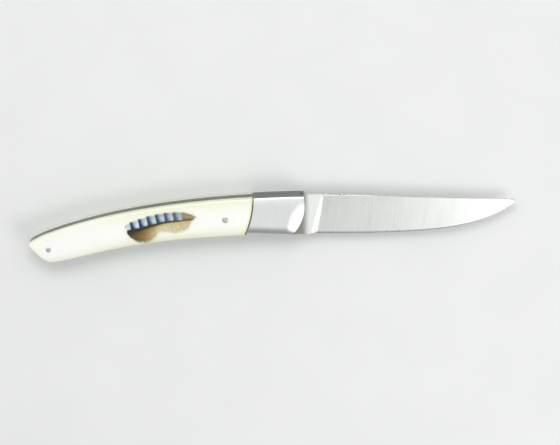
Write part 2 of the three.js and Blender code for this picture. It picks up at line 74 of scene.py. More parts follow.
# The angle in degrees at which a curve leaves or reaches its end, and how far that pulls it
BACK_LEAVE = (181.1, 65.6)
BELLY_LEAVE = (182.3, 56.3)
BELLY_ARRIVE = (185.9, 16.5)
BUTT_TIP = Vector((-111.3, -10.2))
BUTT_SHOULDER = Vector((-103.6, -6.2))
BUTT_SHOULDER_PULL = 3.0
BUTT_CORNER = Vector((-102.9, -18.4))
BUTT_TIP_RADIUS = 2.4
BUTT_TIP_ROOM = 1.2
BUTT_CORNER_RADIUS = 3.0
CORNER_STEPS = 8
JOINT_TOP_X = -13.8
JOINT_BOTTOM = Vector((-17.1, -5.45))
JOINT_BOW = 0.7
SCALE_BELLY_DROP = 6.05
FRONT_BOTTOM = Vector((2.5, -5.95))
FRONT_BOW = 2.3

# Outer faces
CROWN_FLAT_SHARE = 0.5
CROWN_DROP = 0.6
BOLSTER_ROUND = (0.6, 0.3)
BOLSTER_BELLY_ROUND = (3.8, 0.75)
SCALE_ROUND = (0.95, 0.5)
JOINT_GAP = 0.04
FIT = 0.04
JOINT_BEVEL = 0.35
BOLSTER_JOINT_BEVEL = 0.12
DISH_ANGLE = 75.0
DISH_REACH = 10.9
DISH_DEPTH = 1.2
DISH_RADIUS = 18.0
DISH_LENGTH_RADIUS = 38.0
DISH_RISE = 0.4
DISH_BLEND = 2.2
# Edges sharper than these angles are drawn sharp: in general, on the blade and, with none, on the feather
SHARP_ANGLE = 35
BLADE_SHARP_ANGLE = 30
NONE_SHARP = 180
# Bevels round sharp edges by these widths
EDGE_BREAK = 0.1
BLADE_EDGE_BREAK = 0.08
TURNED_SIDES = 48
# How much wider than its pin a hole is, with heights over the face
HOLE_MOUTH = ((0, -0.16), (0.06, -0.03), (0.08, 3))
# How far in from its side a peened pin's head is, with depths under its top, and how much of it is level
PIN_HEAD = ((0.22, 0), (0.1, 0.03), (0, 0.12))
PIN_LEVEL_SHARE = 0.5
# A pin that ends this near to an outer face reaches it
NEAR_FACE = 0.1
# Length of a scale and a bolster, and the height of both, over which their rows are spread
SCALE_SPAN = 97
BOLSTER_SPAN = 21
FACE_SPAN = 17
# Distances from the rim to the first rows
RIM_STEPS = (0, 0.02, 0.06, 0.12, 0.2, 0.3, 0.42, 0.56, 0.75, 1.0, 1.3)
# Faces of a scale that are further than this over the liner aren't its flat back
OVER_LINER = 0.5
# Points of a liner that are nearer than this are welded
WELD_REACH = 0.002

# How much rougher or smoother steel is in its streaks
ROUGHNESS_SPREAD = 0.03
# How far in from its rim the resin shows its own faint green before it looks white
RIM_TINT_REACH = 7.0
# How much further in the resin seems to be at the thicker butt, and from where to where that sets in
BUTT_WHITE = 2.6
BUTT_WHITE_RUN = (62, 92)

# Feather and the clear resin over it, from the middle of the scale there
INLAY_X = -54.0
POCKET_DEPTH = 0.35
POCKET_SLOPE = 1.4
VANE_TOP = [(-15.3, -0.7), (-9.5, 2.3), (-1.7, 4.75), (5.7, 5.85), (11.5, 5.4), (15.9, 3.5)]
SHAFT_LINE = [(-13.8, -2.5), (-12.1, -2.1), (-7.8, -1.15), (-3.0, 0.2), (1.8, 1.35), (6.6, 1.85),
              (11.0, 2.1), (14.2, 2.3)]
DOWN_BOTTOM = [(-13.7, -3.1), (-12.7, -5.4), (-9.8, -7.7), (-6.4, -8.05), (-3.9, -7.4), (-1.5, -5.0),
               (0.8, -3.1), (4.2, -3.5), (7.2, -3.75), (10.0, -3.1), (12.4, -1.6), (13.4, 0.3), (14.0, 1.7)]
SHAFT_RADIUS = 0.1
SHAFT_TIP_RADIUS = 0.05
BARB_ROOM = 0.28
WINDOW = [(-16.4, -1.8), (-14.6, 0.8), (-9.8, 2.8), (-1.9, 5.2), (6.0, 6.3), (12.5, 5.8), (16.7, 3.7),
          (16.4, 1.5), (13.9, -0.9), (11.2, -2.9), (7.4, -4.2), (2.6, -4.0), (-1.1, -6.0), (-4.2, -7.95),
          (-8.0, -8.45), (-13.2, -6.5), (-15.7, -3.8)]
WINDOW_CENTRE = (0.4, -0.6)
WINDOW_STAND = 0.008
WINDOW_THIN = 0.004
WINDOW_RINGS = (1, 0.985, 0.96, 0.92, 0.86, 0.78, 0.68, 0.56, 0.42, 0.26, 0.1)
SHAFT_LIFT = 0.06
BARB_STEPS = 7
# The share of a barb before and behind a point that gives its direction there
BARB_AIM = 0.05
BARB_TAPER = 0.85
BARB_RIDGE = 0.25
# Barred vane: its barbs, then its bars, which lag near the shaft and have level tops with notches between
BARRED_BARBS = 210
BARRED_WIDTH = 0.24
BARRED_LIFT = 0.03
BARRED_END_GAP = 0.2
BARB_LEAN = 0.16
BARB_BEND = (-0.12, 0.1)
BARB_ROOT_RISE = 0.1
BARB_UNEVENNESS = 0.05
BAR_COUNT = 6
BAR_PITCH = 3.83
FIRST_BAR_X = -12.75
BAR_LEAN = 0.2
BAR_DELAY = 0.2
BAR_LEVELLING = 0.9
BAR_NOTCH = 0.5
# Downy vane. Its membrane's reach and the raggedness of its strands change between the two shares of FRAYED.
DOWNY_BARBS = 430
DOWNY_WIDTH = 0.26
DOWNY_LIFT = 0.02
DOWN_SWEEP = 0.92
STRAND_TONES = 5
# The most that a share adds to the whole number of its strand's tone
UNDER_ONE = 0.999
MEMBRANE_LIFT = 0.012
MEMBRANE_REACH = (0.84, 0.6)
RAGGED = (0.38, 0.62)
RAGGED_POWER = 1.6
FRAYED = (0.4, 0.7)
# How far back along the shaft a strand may start, and the ranges of its drift at the tip and its curl
STRAND_BACK = 0.05
STRAND_DRIFT = (-0.3, 0.9)
STRAND_CURL_X = (-0.9, 0.1)
STRAND_CURL_Y = (-0.3, 0.2)

# Blade
BLADE_REACH = 98.8
TIP_RISE = 8.1
BLADE_HALF = 1.2
TIP_HALF = 0.4
SPINE_RISE = 10.9
SPINE_FALL = 1.9
SPINE_PULL = 52.6
SPINE_TIP_LENGTH = 6.0
SPINE_TIP_SLOPE = 0.7
SPINE_TIP_SHARE = 0.6
SPINE_TIP_PULL = 59.6
EDGE_DROP = 6.4
BELLY_START = 19.9
BELLY_PULL = 54.0
TIP_ANGLE = 39.0
TIP_PULL = 15.6
PLUNGE_REACH = 10.7
PLUNGE_SLANT = 4.4
PLUNGE_SLOPE = (0.66, 0.5)
PLUNGE_SOFTNESS = 0.8
PLUNGE_BLEND = 0.06
HOLLOW_POWER = 1.25
TAPER_POWER = 1.4
GROUND_HALF = 1.13
SPINE_ROUND = 0.22
EDGE_HALF = 0.17
TIP_RADIUS = 0.25
RICASSO_DROP = 6.95
KICK_REACH = 3.3
KICK_RUN = 1.5
KICK_DIP = 0.1
CLOSE_ANGLE = 175.5
CAM_LIFT = 0.64
HEEL_RADIUS = 5.7
CAM_END = 185.0
HEEL_START = 252.0
HEEL_END = 276.0
TANG_CLEARANCE = 0.06
SHOULDER = 6.9
RICASSO_END = PLUNGE_REACH - 0.5
# Rows of the blade's faces from edge to spine, and the power that spreads rows and sections
GRIND_ROWS = 26
FIRST_RISE = 0.03
ROW_SPREAD = 0.95
# Places of the sections along the ricasso, and distances ahead of the plunge of those that follow its curve
RICASSO_PLACES = (SHOULDER, 7.6, 8.4, 9.2, 9.7, RICASSO_END)
PLUNGE_STEPS = (0, 0.1, 0.22, 0.36, 0.52, 0.7, 0.9, 1.1, 1.3, 1.5, 1.7, 1.9, 2.1, 2.3, 2.5, 2.8, 3.4, 4.4, 6)

# Backspring
SPRING_HALF = 1.37
SPRING_DEPTH = 4.4
SPRING_MID_DEPTH = 3.9
SPRING_TAPER = 45.0
SPRING_FLAT_MARGIN = 0.5
SPRING_NOSE = 6.7
SPRING_NOSE_RADIUS = 0.9
TIP_CLEARANCE = 0.8
TAIL_MARGIN = 0.5

# Stud on the spine, its heights from its top. The dome is given in shares of the head's radius.
STUD_SHANK = 0.75
STUD_HEIGHT = 0.75
STUD_NECK = 0.85
STUD_NECK_STEP = 0.02
STUD_NECK_TOP = -0.46
STUD_CHAMFER = 0.08
STUD_DOME = ((1, -0.36), (1, -0.27), (0.97, -0.18), (0.88, -0.1), (0.7, -0.045), (0.4, -0.01), (0.08, 0))

# Stage, with sizes and places in metres and the lens in millimetres
PAPER_REACH = 3.0
LENS = 149.5
SENSOR_WIDTH = 36.0
VIEW_TILT = math.radians(15)
VIEW_TARGET = Vector((-2.6, -1.7, MIDDLE)) * MM
VIEW_DISTANCE = 1.0
DOME_TOP = (0.15, 0.45, 0.88)
SIDE_GLOW = (0.71, -0.45, 0.54)
GLOW_COLOUR = (1.3, 1.3, 1.3, 1)
# Name, place, aim, size and power of each lamp
LAMPS = (
    ("tip_soft_box", (0.26, -0.21, 0.42), (0.02, 0, 0.01), (0.27, 0.23), 0.5),
    ("back_soft_box", (-0.1, 0.55, 0.75), (0, 0, 0), (0.5, 0.35), 2.5),
)


def smoothstep(value, low, high):
    share = min(max((value - low) / (high - low), 0.0), 1.0)
    return share * share * (3 - 2 * share)


def mix(a, b, share):
    return a + (b - a) * share


def even(low, high, steps):
    """Evenly spaced values from low to high."""
    return [mix(low, high, i / steps) for i in range(steps + 1)]


def polar(radius, degrees):
    angle = math.radians(degrees)
    return Vector((radius * math.cos(angle), radius * math.sin(angle)))


def arc(radius, start, end, steps):
    """Points on a circle round the pivot, between two angles in degrees."""
    return [polar(radius, angle) for angle in even(start, end, steps)]


def bezier(points, t):
    """The point at t on a Bezier curve of any degree."""
    while len(points) > 1:
        points = [a.lerp(b, t) for a, b in zip(points, points[1:])]
    return points[0]


def sampled(curve, steps):
    """Points along a Bezier curve."""
    return [bezier(curve, t) for t in even(0, 1, steps)]


def bend(a, leave, leave_pull, b, arrive, arrive_pull):
    """A curve from a to b that leaves a along one angle and reaches b along another."""
    return [a, a + polar(leave_pull, leave), b - polar(arrive_pull, arrive), b]


def bow(a, b, height):
    """A shallow arc from a to b that bows by the given height to its right."""
    along = (b - a).normalized()
    return [a, a.lerp(b, 0.5) + 2 * height * Vector((along.y, -along.x)), b]


def last_that_holds(low, high, holds):
    """Halves its way to the last value up to which a test holds."""
    for _ in range(HALVINGS):
        middle = (low + high) / 2
        if holds(middle):
            low = middle
        else:
            high = middle
    return low


def height_at(curve, x):
    """Height of a curve at a place along X."""
    falls = curve[0].x > curve[-1].x
    return bezier(curve, last_that_holds(0.0, 1.0, lambda t: (bezier(curve, t).x > x) == falls)).y


def on_curve(curve, x):
    return Vector((x, height_at(curve, x)))


def stretch(curve, from_x, to_x, steps):
    """The stretch of a curve between two places along X, as points."""
    return [on_curve(curve, x) for x in even(from_x, to_x, steps)]


def spline(points, steps):
    """Points on a smooth line through the given ones."""
    ends = [points[0] * 2 - points[1], *points, points[-1] * 2 - points[-2]]
    line = []
    for i in range(steps + 1):
        place = i / steps * (len(points) - 1)
        k = min(int(place), len(points) - 2)
        t = place - k
        a, b, c, d = ends[k:k + 4]
        line.append(0.5 * ((2 * b) + (c - a) * t + (2 * a - 5 * b + 4 * c - d) * t ** 2
                           + (3 * b - a - 3 * c + d) * t ** 3))
    return line


def rounded(before, at, after, radius):
    """The curve that rounds the corner at one point between its neighbours."""
    start = at + (before - at).normalized() * radius
    end = at + (after - at).normalized() * radius
    return sampled([start, at, end], CORNER_STEPS)


def joined(*runs):
    """Points of an outline in order, without repeats where one run ends on the next."""
    points = [p for run in runs for p in run]
    return [p for p, q in zip(points, points[-1:] + points[:-1]) if (p - q).length > SAME_POINT]


def along(line):
    """A function that gives the point at any share of the length of a line."""
    lengths = [0.0]
    for p, q in zip(line, line[1:]):
        lengths.append(lengths[-1] + (q - p).length)

    def at(share):
        reach = min(max(share, 0.0), 1.0) * lengths[-1]
        i = max(k for k in range(len(lengths) - 1) if lengths[k] <= reach or k == 0)
        span = lengths[i + 1] - lengths[i]
        return line[i].lerp(line[i + 1], (reach - lengths[i]) / span)
    return at


def distance(p, line):
    """Distance from a point to a line of points."""
    best = math.inf
    for a, b in zip(line, line[1:]):
        run = b - a
        t = min(max((p - a).dot(run) / run.length_squared, 0.0), 1.0)
        best = min(best, (p - a - run * t).length)
    return best


def inside(p, outline):
    """True if a point is inside a closed outline."""
    crossed = False
    for a, b in zip(outline, outline[1:] + outline[:1]):
        if (a.y > p.y) != (b.y > p.y) and p.x < a.x + (p.y - a.y) / (b.y - a.y) * (b.x - a.x):
            crossed = not crossed
    return crossed


# Outline curves of the handle
BACK_START = Vector((NOSE_REACH, BACK_HEIGHT))
BACK = bend(BACK_START, *BACK_LEAVE, BUTT_SHOULDER, BACK_REAR_ANGLE, BACK_REAR_PULL)
JOINT_TOP = on_curve(BACK, JOINT_TOP_X)
BELLY_FRONT = Vector((JOINT_BOTTOM.x, -SCALE_BELLY_DROP))
BELLY = bend(BELLY_FRONT, *BELLY_LEAVE, BUTT_CORNER, *BELLY_ARRIVE)
BELLY_END_X = BUTT_CORNER.x + BUTT_CORNER_RADIUS
FRONT = bow(FRONT_BOTTOM, BACK_START, FRONT_BOW)
JOINT = bow(JOINT_BOTTOM, JOINT_TOP, JOINT_BOW)
BOLSTER_BELLY = [JOINT_BOTTOM, FRONT_BOTTOM]
INLAY = Vector((INLAY_X, (height_at(BACK, INLAY_X) + height_at(BELLY, INLAY_X)) / 2))


def butt_points():
    """The butt in three runs from the end of the back to the start of the belly: shoulder, tip, corner."""
    curve = [BUTT_SHOULDER, BUTT_SHOULDER + polar(BUTT_SHOULDER_PULL, BACK_REAR_ANGLE), BUTT_TIP]
    room = BUTT_TIP_ROOM * BUTT_TIP_RADIUS
    shoulder = [p for p in sampled(curve, 16) if (p - BUTT_TIP).length > room]
    tip = rounded(shoulder[-1], BUTT_TIP, BUTT_CORNER, BUTT_TIP_RADIUS)
    corner = rounded(BUTT_TIP, BUTT_CORNER, on_curve(BELLY, BELLY_END_X), BUTT_CORNER_RADIUS)
    return shoulder, tip, corner


SHOULDER_RUN, TIP_RUN, CORNER_RUN = butt_points()


def into_scene(name, data):
    """A new object in the scene."""
    placed = bpy.data.objects.new(name, data)
    bpy.context.collection.objects.link(placed)
    return placed


def smooth(mesh, angle):
    """Smooth shading, apart from edges sharper than an angle in degrees."""
    mesh.shade_smooth()
    mesh.set_sharp_from_angle(angle=math.radians(angle))


def to_object(name, vertices, faces, body, material, smooth_angle=SHARP_ANGLE):
    """A closed mesh from points in millimetres, riding on a body."""
    mesh = bpy.data.meshes.new(name)
    mesh.from_pydata([Vector(v) * MM for v in vertices], [], faces)
    checked = bmesh.new()
    checked.from_mesh(mesh)
    bmesh.ops.recalc_face_normals(checked, faces=checked.faces)
    checked.to_mesh(mesh)
    checked.free()
    smooth(mesh, smooth_angle)
    mesh.materials.append(material)
    piece = into_scene(name, mesh)
    if body:
        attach(piece, body)
    return piece


def bevel(piece, width):
    """Rounds a piece's sharp edges by a width in millimetres."""
    rounding = piece.modifiers.new("edge_rounding", "BEVEL")
    rounding.width = width * MM
    rounding.segments = 2
    rounding.limit_method = "ANGLE"
    rounding.angle_limit = math.radians(SHARP_ANGLE)
    rounding.harden_normals = True


def second_material(piece, material, faces):
    """Gives some of a piece's faces a second material."""
    piece.data.materials.append(material)
    for face in faces:
        face.material_index = 1


def wall(ring, other):
    """The faces between two closed rings of points, given by their numbers."""
    pairs = list(zip(ring, other))
    return [(a, b, d, c) for (a, c), (b, d) in zip(pairs, pairs[1:] + pairs[:1])]


def tube(rings, count, start=0):
    """The faces between closed rings that follow one another, each with count points."""
    starts = range(start, start + (rings - 1) * count, count)
    return [face for s in starts for face in wall(range(s, s + count), range(s + count, s + 2 * count))]


def capped_tube(rings, count):
    """A tube's faces and one over each end."""
    last = (rings - 1) * count
    return tube(rings, count) + [tuple(range(count)), tuple(range(last, last + count))]


def grid_faces(rows, columns):
    """The faces of a grid of points in rows."""
    starts = [i * columns + j for i in range(rows - 1) for j in range(columns - 1)]
    return [(a, a + columns, a + columns + 1, a + 1) for a in starts]


def grid_rim(rows, columns):
    """The numbers of the points round the edge of a grid."""
    ring = [(i, 0) for i in range(rows)] + [(rows - 1, j) for j in range(1, columns)]
    ring += [(i, columns - 1) for i in range(rows - 2, -1, -1)] + [(0, j) for j in range(columns - 2, 0, -1)]
    return [i * columns + j for i, j in ring]


def prism(name, outline, low, high, body, material):
    """A flat piece between two heights."""
    vertices = [(p.x, p.y, z) for z in (low, high) for p in outline]
    return to_object(name, vertices, capped_tube(2, len(outline)), body, material)


def turned(name, profile, centre, axis, body, material):
    """A turned piece. The profile gives radius and height along the axis, from one end to the other."""
    turn = Vector((0, 0, 1)).rotation_difference(Vector(axis)).to_matrix()
    vertices = []
    for radius, height in profile:
        for i in range(TURNED_SIDES):
            angle = 2 * math.pi * i / TURNED_SIDES
            spot = turn @ Vector((radius * math.cos(angle), radius * math.sin(angle), height))
            vertices.append(spot + Vector(centre))
    return to_object(name, vertices, capped_tube(len(profile), TURNED_SIDES), body, material)


def cut(piece, cutter):
    """Cuts one piece out of another and deletes the cutter."""
    difference = piece.modifiers.new("hole", "BOOLEAN")
    difference.operation = "DIFFERENCE"
    difference.solver = "EXACT"
    difference.object = cutter
    shaped = piece.evaluated_get(bpy.context.evaluated_depsgraph_get())
    mesh = bpy.data.meshes.new_from_object(shaped)
    piece.modifiers.clear()
    piece.data = mesh
    bpy.data.objects.remove(cutter)
    smooth(mesh, SHARP_ANGLE)


def box_mm(node):
    """Low and high corner of a CAD node's box, in millimetres."""
    return [Vector(corner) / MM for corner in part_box(node)]


def linear(hex_colour):
    """Linear RGBA from an sRGB hex colour."""
    channels = [int(hex_colour[i:i + 2], 16) / 255 for i in (1, 3, 5)]
    return [c / 12.92 if c <= 0.04045 else ((c + 0.055) / 1.055) ** 2.4 for c in channels] + [1.0]


def feed(node, inputs):
    """Sets a node's inputs to values, or links them to sockets or to other nodes' first outputs in use."""
    for socket, value in inputs.items():
        if isinstance(value, bpy.types.Node):
            value = next(output for output in value.outputs if output.enabled)
        if isinstance(value, bpy.types.NodeSocket):
            node.id_data.links.new(value, node.inputs[socket])
        else:
            node.inputs[socket].default_value = value


def add_node(tree, kind, inputs=None, stops=None, **settings):
    """Adds a shader node with its settings, its inputs and the stops of its ramp."""
    node = tree.nodes.new("ShaderNode" + kind)
    for key, value in settings.items():
        setattr(node, key, value)
    feed(node, inputs or {})
    for i, (place, colour) in enumerate(stops or []):
        ramp = node.color_ramp.elements
        stop = ramp[i] if i < 2 else ramp.new(place)
        stop.position = place
        stop.color = linear(colour)
    return node


def finish(name):
    """A new material, the function that adds nodes to it, and its shader."""
    material = bpy.data.materials.new(name)
    material.use_nodes = True
    tree = material.node_tree
    return material, partial(add_node, tree), tree.nodes["Principled BSDF"]


def brushed_steel(name, light, dark, roughness, line_angle, line_size, depth, corner=None):
    """Steel with fine parallel lines. line_size is their spacing, length and depth in millimetres.
    Painted shade, a darker steel colour that stands in for the shade beside the bolsters, clears between the
    two places of the corner along X."""
    material, add, shader = finish(name)
    place = add("TexCoord").outputs["Object"]
    lines = add("Mapping", {
        "Vector": place, "Rotation": (0, 0, math.radians(line_angle)),
        "Scale": [size * MM for size in line_size]}, vector_type="TEXTURE")
    streaks = add("TexNoise", {"Vector": lines, "Scale": 1.0, "Detail": 3.0, "Roughness": 0.65})
    cloud = add("TexNoise", {"Vector": place, "Scale": 1 / (9 * MM), "Detail": 2.0})
    both = add("Mix", {"Factor": 0.3, "A": streaks, "B": cloud}, data_type="FLOAT")
    tone = add("ValToRGB", {"Fac": both}, [(0.3, dark), (0.7, light)])
    rough = add("MapRange", {
        "Value": streaks, "From Min": 0.3, "From Max": 0.7,
        "To Min": roughness - ROUGHNESS_SPREAD, "To Max": roughness + ROUGHNESS_SPREAD})
    bump = add("Bump", {"Height": streaks, "Strength": 0.35, "Distance": depth * MM})
    # Painted shade: near the bolsters the steel takes the darker colour #93948B in place of its own tone.
    if corner:
        x = add("SeparateXYZ", {0: place}).outputs["X"]
        out_of_painted_shade = add("MapRange", {"Value": x, "From Min": corner[0] * MM, "From Max": corner[1] * MM},
                      interpolation_type="SMOOTHSTEP")
        tone = add("Mix", {"Factor": out_of_painted_shade, "A": linear("#93948B"), "B": tone}, data_type="RGBA")
    feed(shader, {"Base Color": tone, "Roughness": rough, "Normal": bump, "Metallic": 1.0})
    return material


# Stainless blade steel, ground across the blade on a fine belt: a grey satin, lines from spine to edge.
# The real lines are about 0.06 mm apart and are drawn at 0.4 mm to show.
BELT_ANGLE = -5.0
BELT_LINES = (0.4, 14.0, 14.0)
blade_steel = brushed_steel("belt_ground_blade_steel", "#E2E4E1", "#D6D9D5", 0.29,
                            BELT_ANGLE, BELT_LINES, 0.002)
# The flat ricasso ahead of the bolsters, buffed along with them: brighter than the ground faces, with
# painted shade next to the bolsters.
ricasso_steel = brushed_steel("buffed_ricasso_steel", "#FBFCFA", "#F0F2EF", 0.29,
                              BELT_ANGLE, BELT_LINES, 0.002, (NOSE_REACH - 0.8, NOSE_REACH + 3.2))
# Stainless bolsters, brushed from back to belly on a soft wheel: a bright satin with soft vertical streaks.
# The real lines are about 0.1 mm apart and are drawn at 0.4 mm.
bolster_steel = brushed_steel("brushed_bolster_steel", "#ECEEEC", "#DFE2E0", 0.34, 0, (0.4, 7.0, 7.0), 0.004)
# The bolsters' edges, ground lengthwise with the liners and the spring: lines along the handle, and darker
# steel, partly a painted reflection of dark surroundings.
bolster_edge_steel = brushed_steel("ground_bolster_edge", "#7F827E", "#5E615D", 0.3,
                                   0, (16.0, 0.3, 0.3), 0.01)
# Hardened spring steel, ground lengthwise along the back: a soft mirror with long lines. Its dark colour is
# partly the steel's own and partly a painted reflection of dark surroundings.
spring_steel = brushed_steel("ground_spring_steel", "#72756F", "#565954", 0.26, 0, (16.0, 0.3, 0.3), 0.01)
# Liner steel, blanked and ground with the spring: the same lines and the same painted dark reflection, a
# little lighter.
liner_steel = brushed_steel("ground_liner_steel", "#84877F", "#666A63", 0.28, 0, (14.0, 0.3, 0.3), 0.008)
# Stainless pin stock, peened and polished flush: bright, with soft uneven patches from the hammer.
pin_steel = brushed_steel("peened_pin_steel", "#E4E6E4", "#A3A6A4", 0.26, 30, (0.6, 0.7, 0.7), 0.02)
# Stainless stud, turned and buffed: nearly a mirror.
stud_steel = brushed_steel("buffed_stud_steel", "#E2E3E1", "#D2D4D1", 0.14, 0, (0.6, 0.6, 0.6), 0.003)
# Tin bronze washers, cut from rolled sheet: warm and matt.
washer_bronze = brushed_steel("rolled_bronze", "#B99A63", "#A0834F", 0.38, 0, (6.0, 0.3, 0.3), 0.006)


def cream_resin(name, specular):
    """Polyester resin, cast cream white and buffed: glossy, faintly cloudy, greener where thin at its rim.
    It is darker along its joint to the bolster."""
    material, add, shader = finish(name)
    place = add("TexCoord").outputs["Object"]
    reach = add("Attribute", attribute_name="reach").outputs["Vector"]
    rim, joint, _ = add("SeparateXYZ", {0: reach}).outputs
    cloud = add("TexNoise", {
        "Vector": place, "Scale": 1 / (14 * MM), "Detail": 3.0, "Distortion": 0.6})
    drift = add("MapRange", {"Value": cloud, "To Min": -0.9, "To Max": 0.9})
    thin = add("Math", {0: rim, 1: drift}, operation="ADD")
    body = add("MapRange", {"Value": thin, "From Min": 0.0, "From Max": RIM_TINT_REACH})
    cast = add("ValToRGB", {"Fac": body}, [
        (0.0, "#E6EAD0"), (1.0, "#FBFBF5"), (0.35, "#F2F4E4"), (0.7, "#F9F9F0")])
    groove = add("MapRange", {"Value": joint, "From Min": 0.0, "From Max": 1.5})
    shade = add("ValToRGB", {"Fac": groove}, [
        (0.0, "#3F4135"), (1.0, "#FFFFFF"), (0.26, "#565847"), (0.36, "#DDE4C4"), (0.6, "#EEF2DF")])
    tone = add("Mix", {"Factor": 1.0, "A": cast, "B": shade}, data_type="RGBA", blend_type="MULTIPLY")
    haze = add("TexNoise", {"Vector": place, "Scale": 1 / (0.9 * MM), "Detail": 2.0})
    rough = add("MapRange", {"Value": haze, "To Min": 0.14, "To Max": 0.24})
    feed(shader, {
        "Base Color": tone, "Roughness": rough, "Specular IOR Level": specular, "IOR": 1.54,
        "Subsurface Weight": 0.35, "Subsurface Radius": (1.0, 0.9, 0.55), "Subsurface Scale": 0.9 * MM})
    return material


scale_resin = cream_resin("cast_cream_resin", 0.5)
# The same resin under the clear one, where no surface shines.
pocket_resin = cream_resin("cream_resin_under_clear", 0.0)


def clear_resin(name, tint, shines):
    """Clear casting resin: nothing shows of it but the shine of a face that is sanded flush and buffed."""
    material, add, shader = finish(name)
    nodes = material.node_tree.nodes
    nodes.remove(shader)
    surface = add("BsdfTransparent", {"Color": linear(tint)})
    if shines:
        shine = add("BsdfGlossy", {"Roughness": 0.18, "Color": linear("#FFFFFF")})
        amount = add("Fresnel", {"IOR": 1.5})
        surface = add("MixShader", {0: amount, 1: surface, 2: shine})
    feed(nodes["Material Output"], {"Surface": surface})
    return material


window_resin = clear_resin("clear_casting_resin", "#F5F5F2", True)
# Its underside is cast onto the feather, where no surface shines.
window_back = clear_resin("clear_resin_cast_face", "#FFFFFF", False)


def barred_barbs():
    """Barbs of the stiff vane. Each bar fades from navy through blue to near white, and the tip is brown.
    The places hold the bar with its fraction, the height on the vane and the share across the bar."""
    material, add, shader = finish("barred_feather_barbs")
    place = add("Attribute", attribute_name="place").outputs["Vector"]
    bar, height, across = add("SeparateXYZ", {0: place}).outputs
    bars = add("ValToRGB", {"Fac": across}, [
        (0.0, "#0E1828"), (1.0, "#A6B8C0"), (0.13, "#1A2E52"), (0.23, "#3E69A4"), (0.34, "#7FABDA"),
        (0.46, "#BFDDF5"), (0.6, "#EDF8FE"), (0.9, "#FAFDFD")])
    late = add("MapRange", {"Value": bar, "From Min": 1.0, "From Max": BAR_COUNT, "To Max": 0.42})
    aged = add("Mix", {"Factor": late, "A": bars, "B": linear("#A9B4B2")}, data_type="RGBA")
    started = add("MapRange", {"Value": bar, "From Min": -0.03, "From Max": 0.03})
    barred = add("Mix", {"Factor": started, "A": linear("#E0F2EE"), "B": aged}, data_type="RGBA")
    brown = add("ValToRGB", {"Fac": height}, [
        (0.0, "#8B7750"), (1.0, "#8D8068"), (0.5, "#C6B68E"), (0.88, "#CABFA0")])
    past = add("MapRange", {"Value": bar, "From Min": BAR_COUNT - 0.08, "From Max": BAR_COUNT + 0.1})
    tone = add("Mix", {"Factor": past, "A": barred, "B": brown}, data_type="RGBA")
    feed(shader, {"Base Color": tone, "Roughness": 0.55, "Specular IOR Level": 0.2})
    return material


def downy_barbs():
    """Downy barbs: near black along the shaft, then brown, gold and straw, paler to their tips, in strands.
    The places hold the reach along the feather, the distance from the shaft, and the share of the strand's
    length with the strand's own tone before the point."""
    material, add, shader = finish("downy_feather_barbs")
    place = add("Attribute", attribute_name="place").outputs["Vector"]
    x, fall, toned_share = add("SeparateXYZ", {0: place}).outputs
    reach = add("MapRange", {"Value": x, "From Min": -14.5, "From Max": 15.5})
    root = add("ValToRGB", {"Fac": reach}, [
        (0.0, "#2E2010"), (1.0, "#EADBAE"), (0.13, "#5F4514"), (0.26, "#A27F3C"), (0.4, "#D6BC80"),
        (0.54, "#EADCA8"), (0.75, "#E6D49C")])
    tip = add("ValToRGB", {"Fac": reach}, [
        (0.0, "#5A4A20"), (1.0, "#F7F2DC"), (0.13, "#857233"), (0.26, "#BBA662"), (0.37, "#E2D2A0"),
        (0.46, "#F4EFDA"), (0.58, "#F8F5E2"), (0.74, "#F0E9C8")])
    share = add("Math", {0: toned_share}, operation="FRACT")
    fade = add("MapRange", {"Value": share, "From Min": 0.25, "From Max": 0.95},
               interpolation_type="SMOOTHSTEP")
    tone = add("Mix", {"Factor": fade, "A": root, "B": tip}, data_type="RGBA")
    band = add("MapRange", {
        "Value": x, "From Min": -14.5, "From Max": 14.0, "To Min": 2.6, "To Max": 0.12})
    depth = add("Math", {0: fall, 1: band}, operation="DIVIDE")
    clear = add("MapRange", {"Value": depth, "From Min": 0.2, "From Max": 1.15},
                interpolation_type="SMOOTHSTEP")
    dark = add("Mix", {"Factor": clear, "A": linear("#29241F"), "B": tone}, data_type="RGBA")
    own = add("MapRange", {
        "Value": toned_share, "From Min": 0.0, "From Max": STRAND_TONES, "To Min": 0.82, "To Max": 1.1})
    strand = add("VectorMath", {0: dark, "Scale": own}, operation="SCALE")
    feed(shader, {"Base Color": strand, "Roughness": 0.8, "Specular IOR Level": 0.1})
    return material


def quill():
    """The feather's shaft: smooth dark horn, paler towards its thin end."""
    material, add, shader = finish("feather_quill")
    place = add("TexCoord").outputs["Object"]
    x = add("SeparateXYZ", {0: place}).outputs["X"]
    reach = add("MapRange", {
        "Value": x, "From Min": (INLAY.x - 14) * MM, "From Max": (INLAY.x + 15) * MM})
    tone = add("ValToRGB", {"Fac": reach}, [(0.0, "#1E1A18"), (1.0, "#6B5230"), (0.6, "#33291E")])
    feed(shader, {"Base Color": tone, "Roughness": 0.4})
    return material


barred_vane = barred_barbs()
downy_vane = downy_barbs()
shaft_horn = quill()

# Faces of the handle
BACK_FINE = stretch(BACK, NOSE_REACH, BUTT_SHOULDER.x, 120)
BELLY_FINE = stretch(BELLY, BELLY_END_X, BELLY_FRONT.x, 100)
BUTT_RIM = joined(SHOULDER_RUN, TIP_RUN, CORNER_RUN)
SCALE_RIM = BACK_FINE + BUTT_RIM + BELLY_FINE
BOLSTER_BACK = stretch(BACK, NOSE_REACH, JOINT_TOP.x, 24)
JOINT_LINE = sampled(JOINT, 24)
FRONT_LINE = sampled(FRONT, 32)
WINDOW_LINE = spline([Vector(p) + INLAY for p in WINDOW + WINDOW[:1]], 96)[:-1]


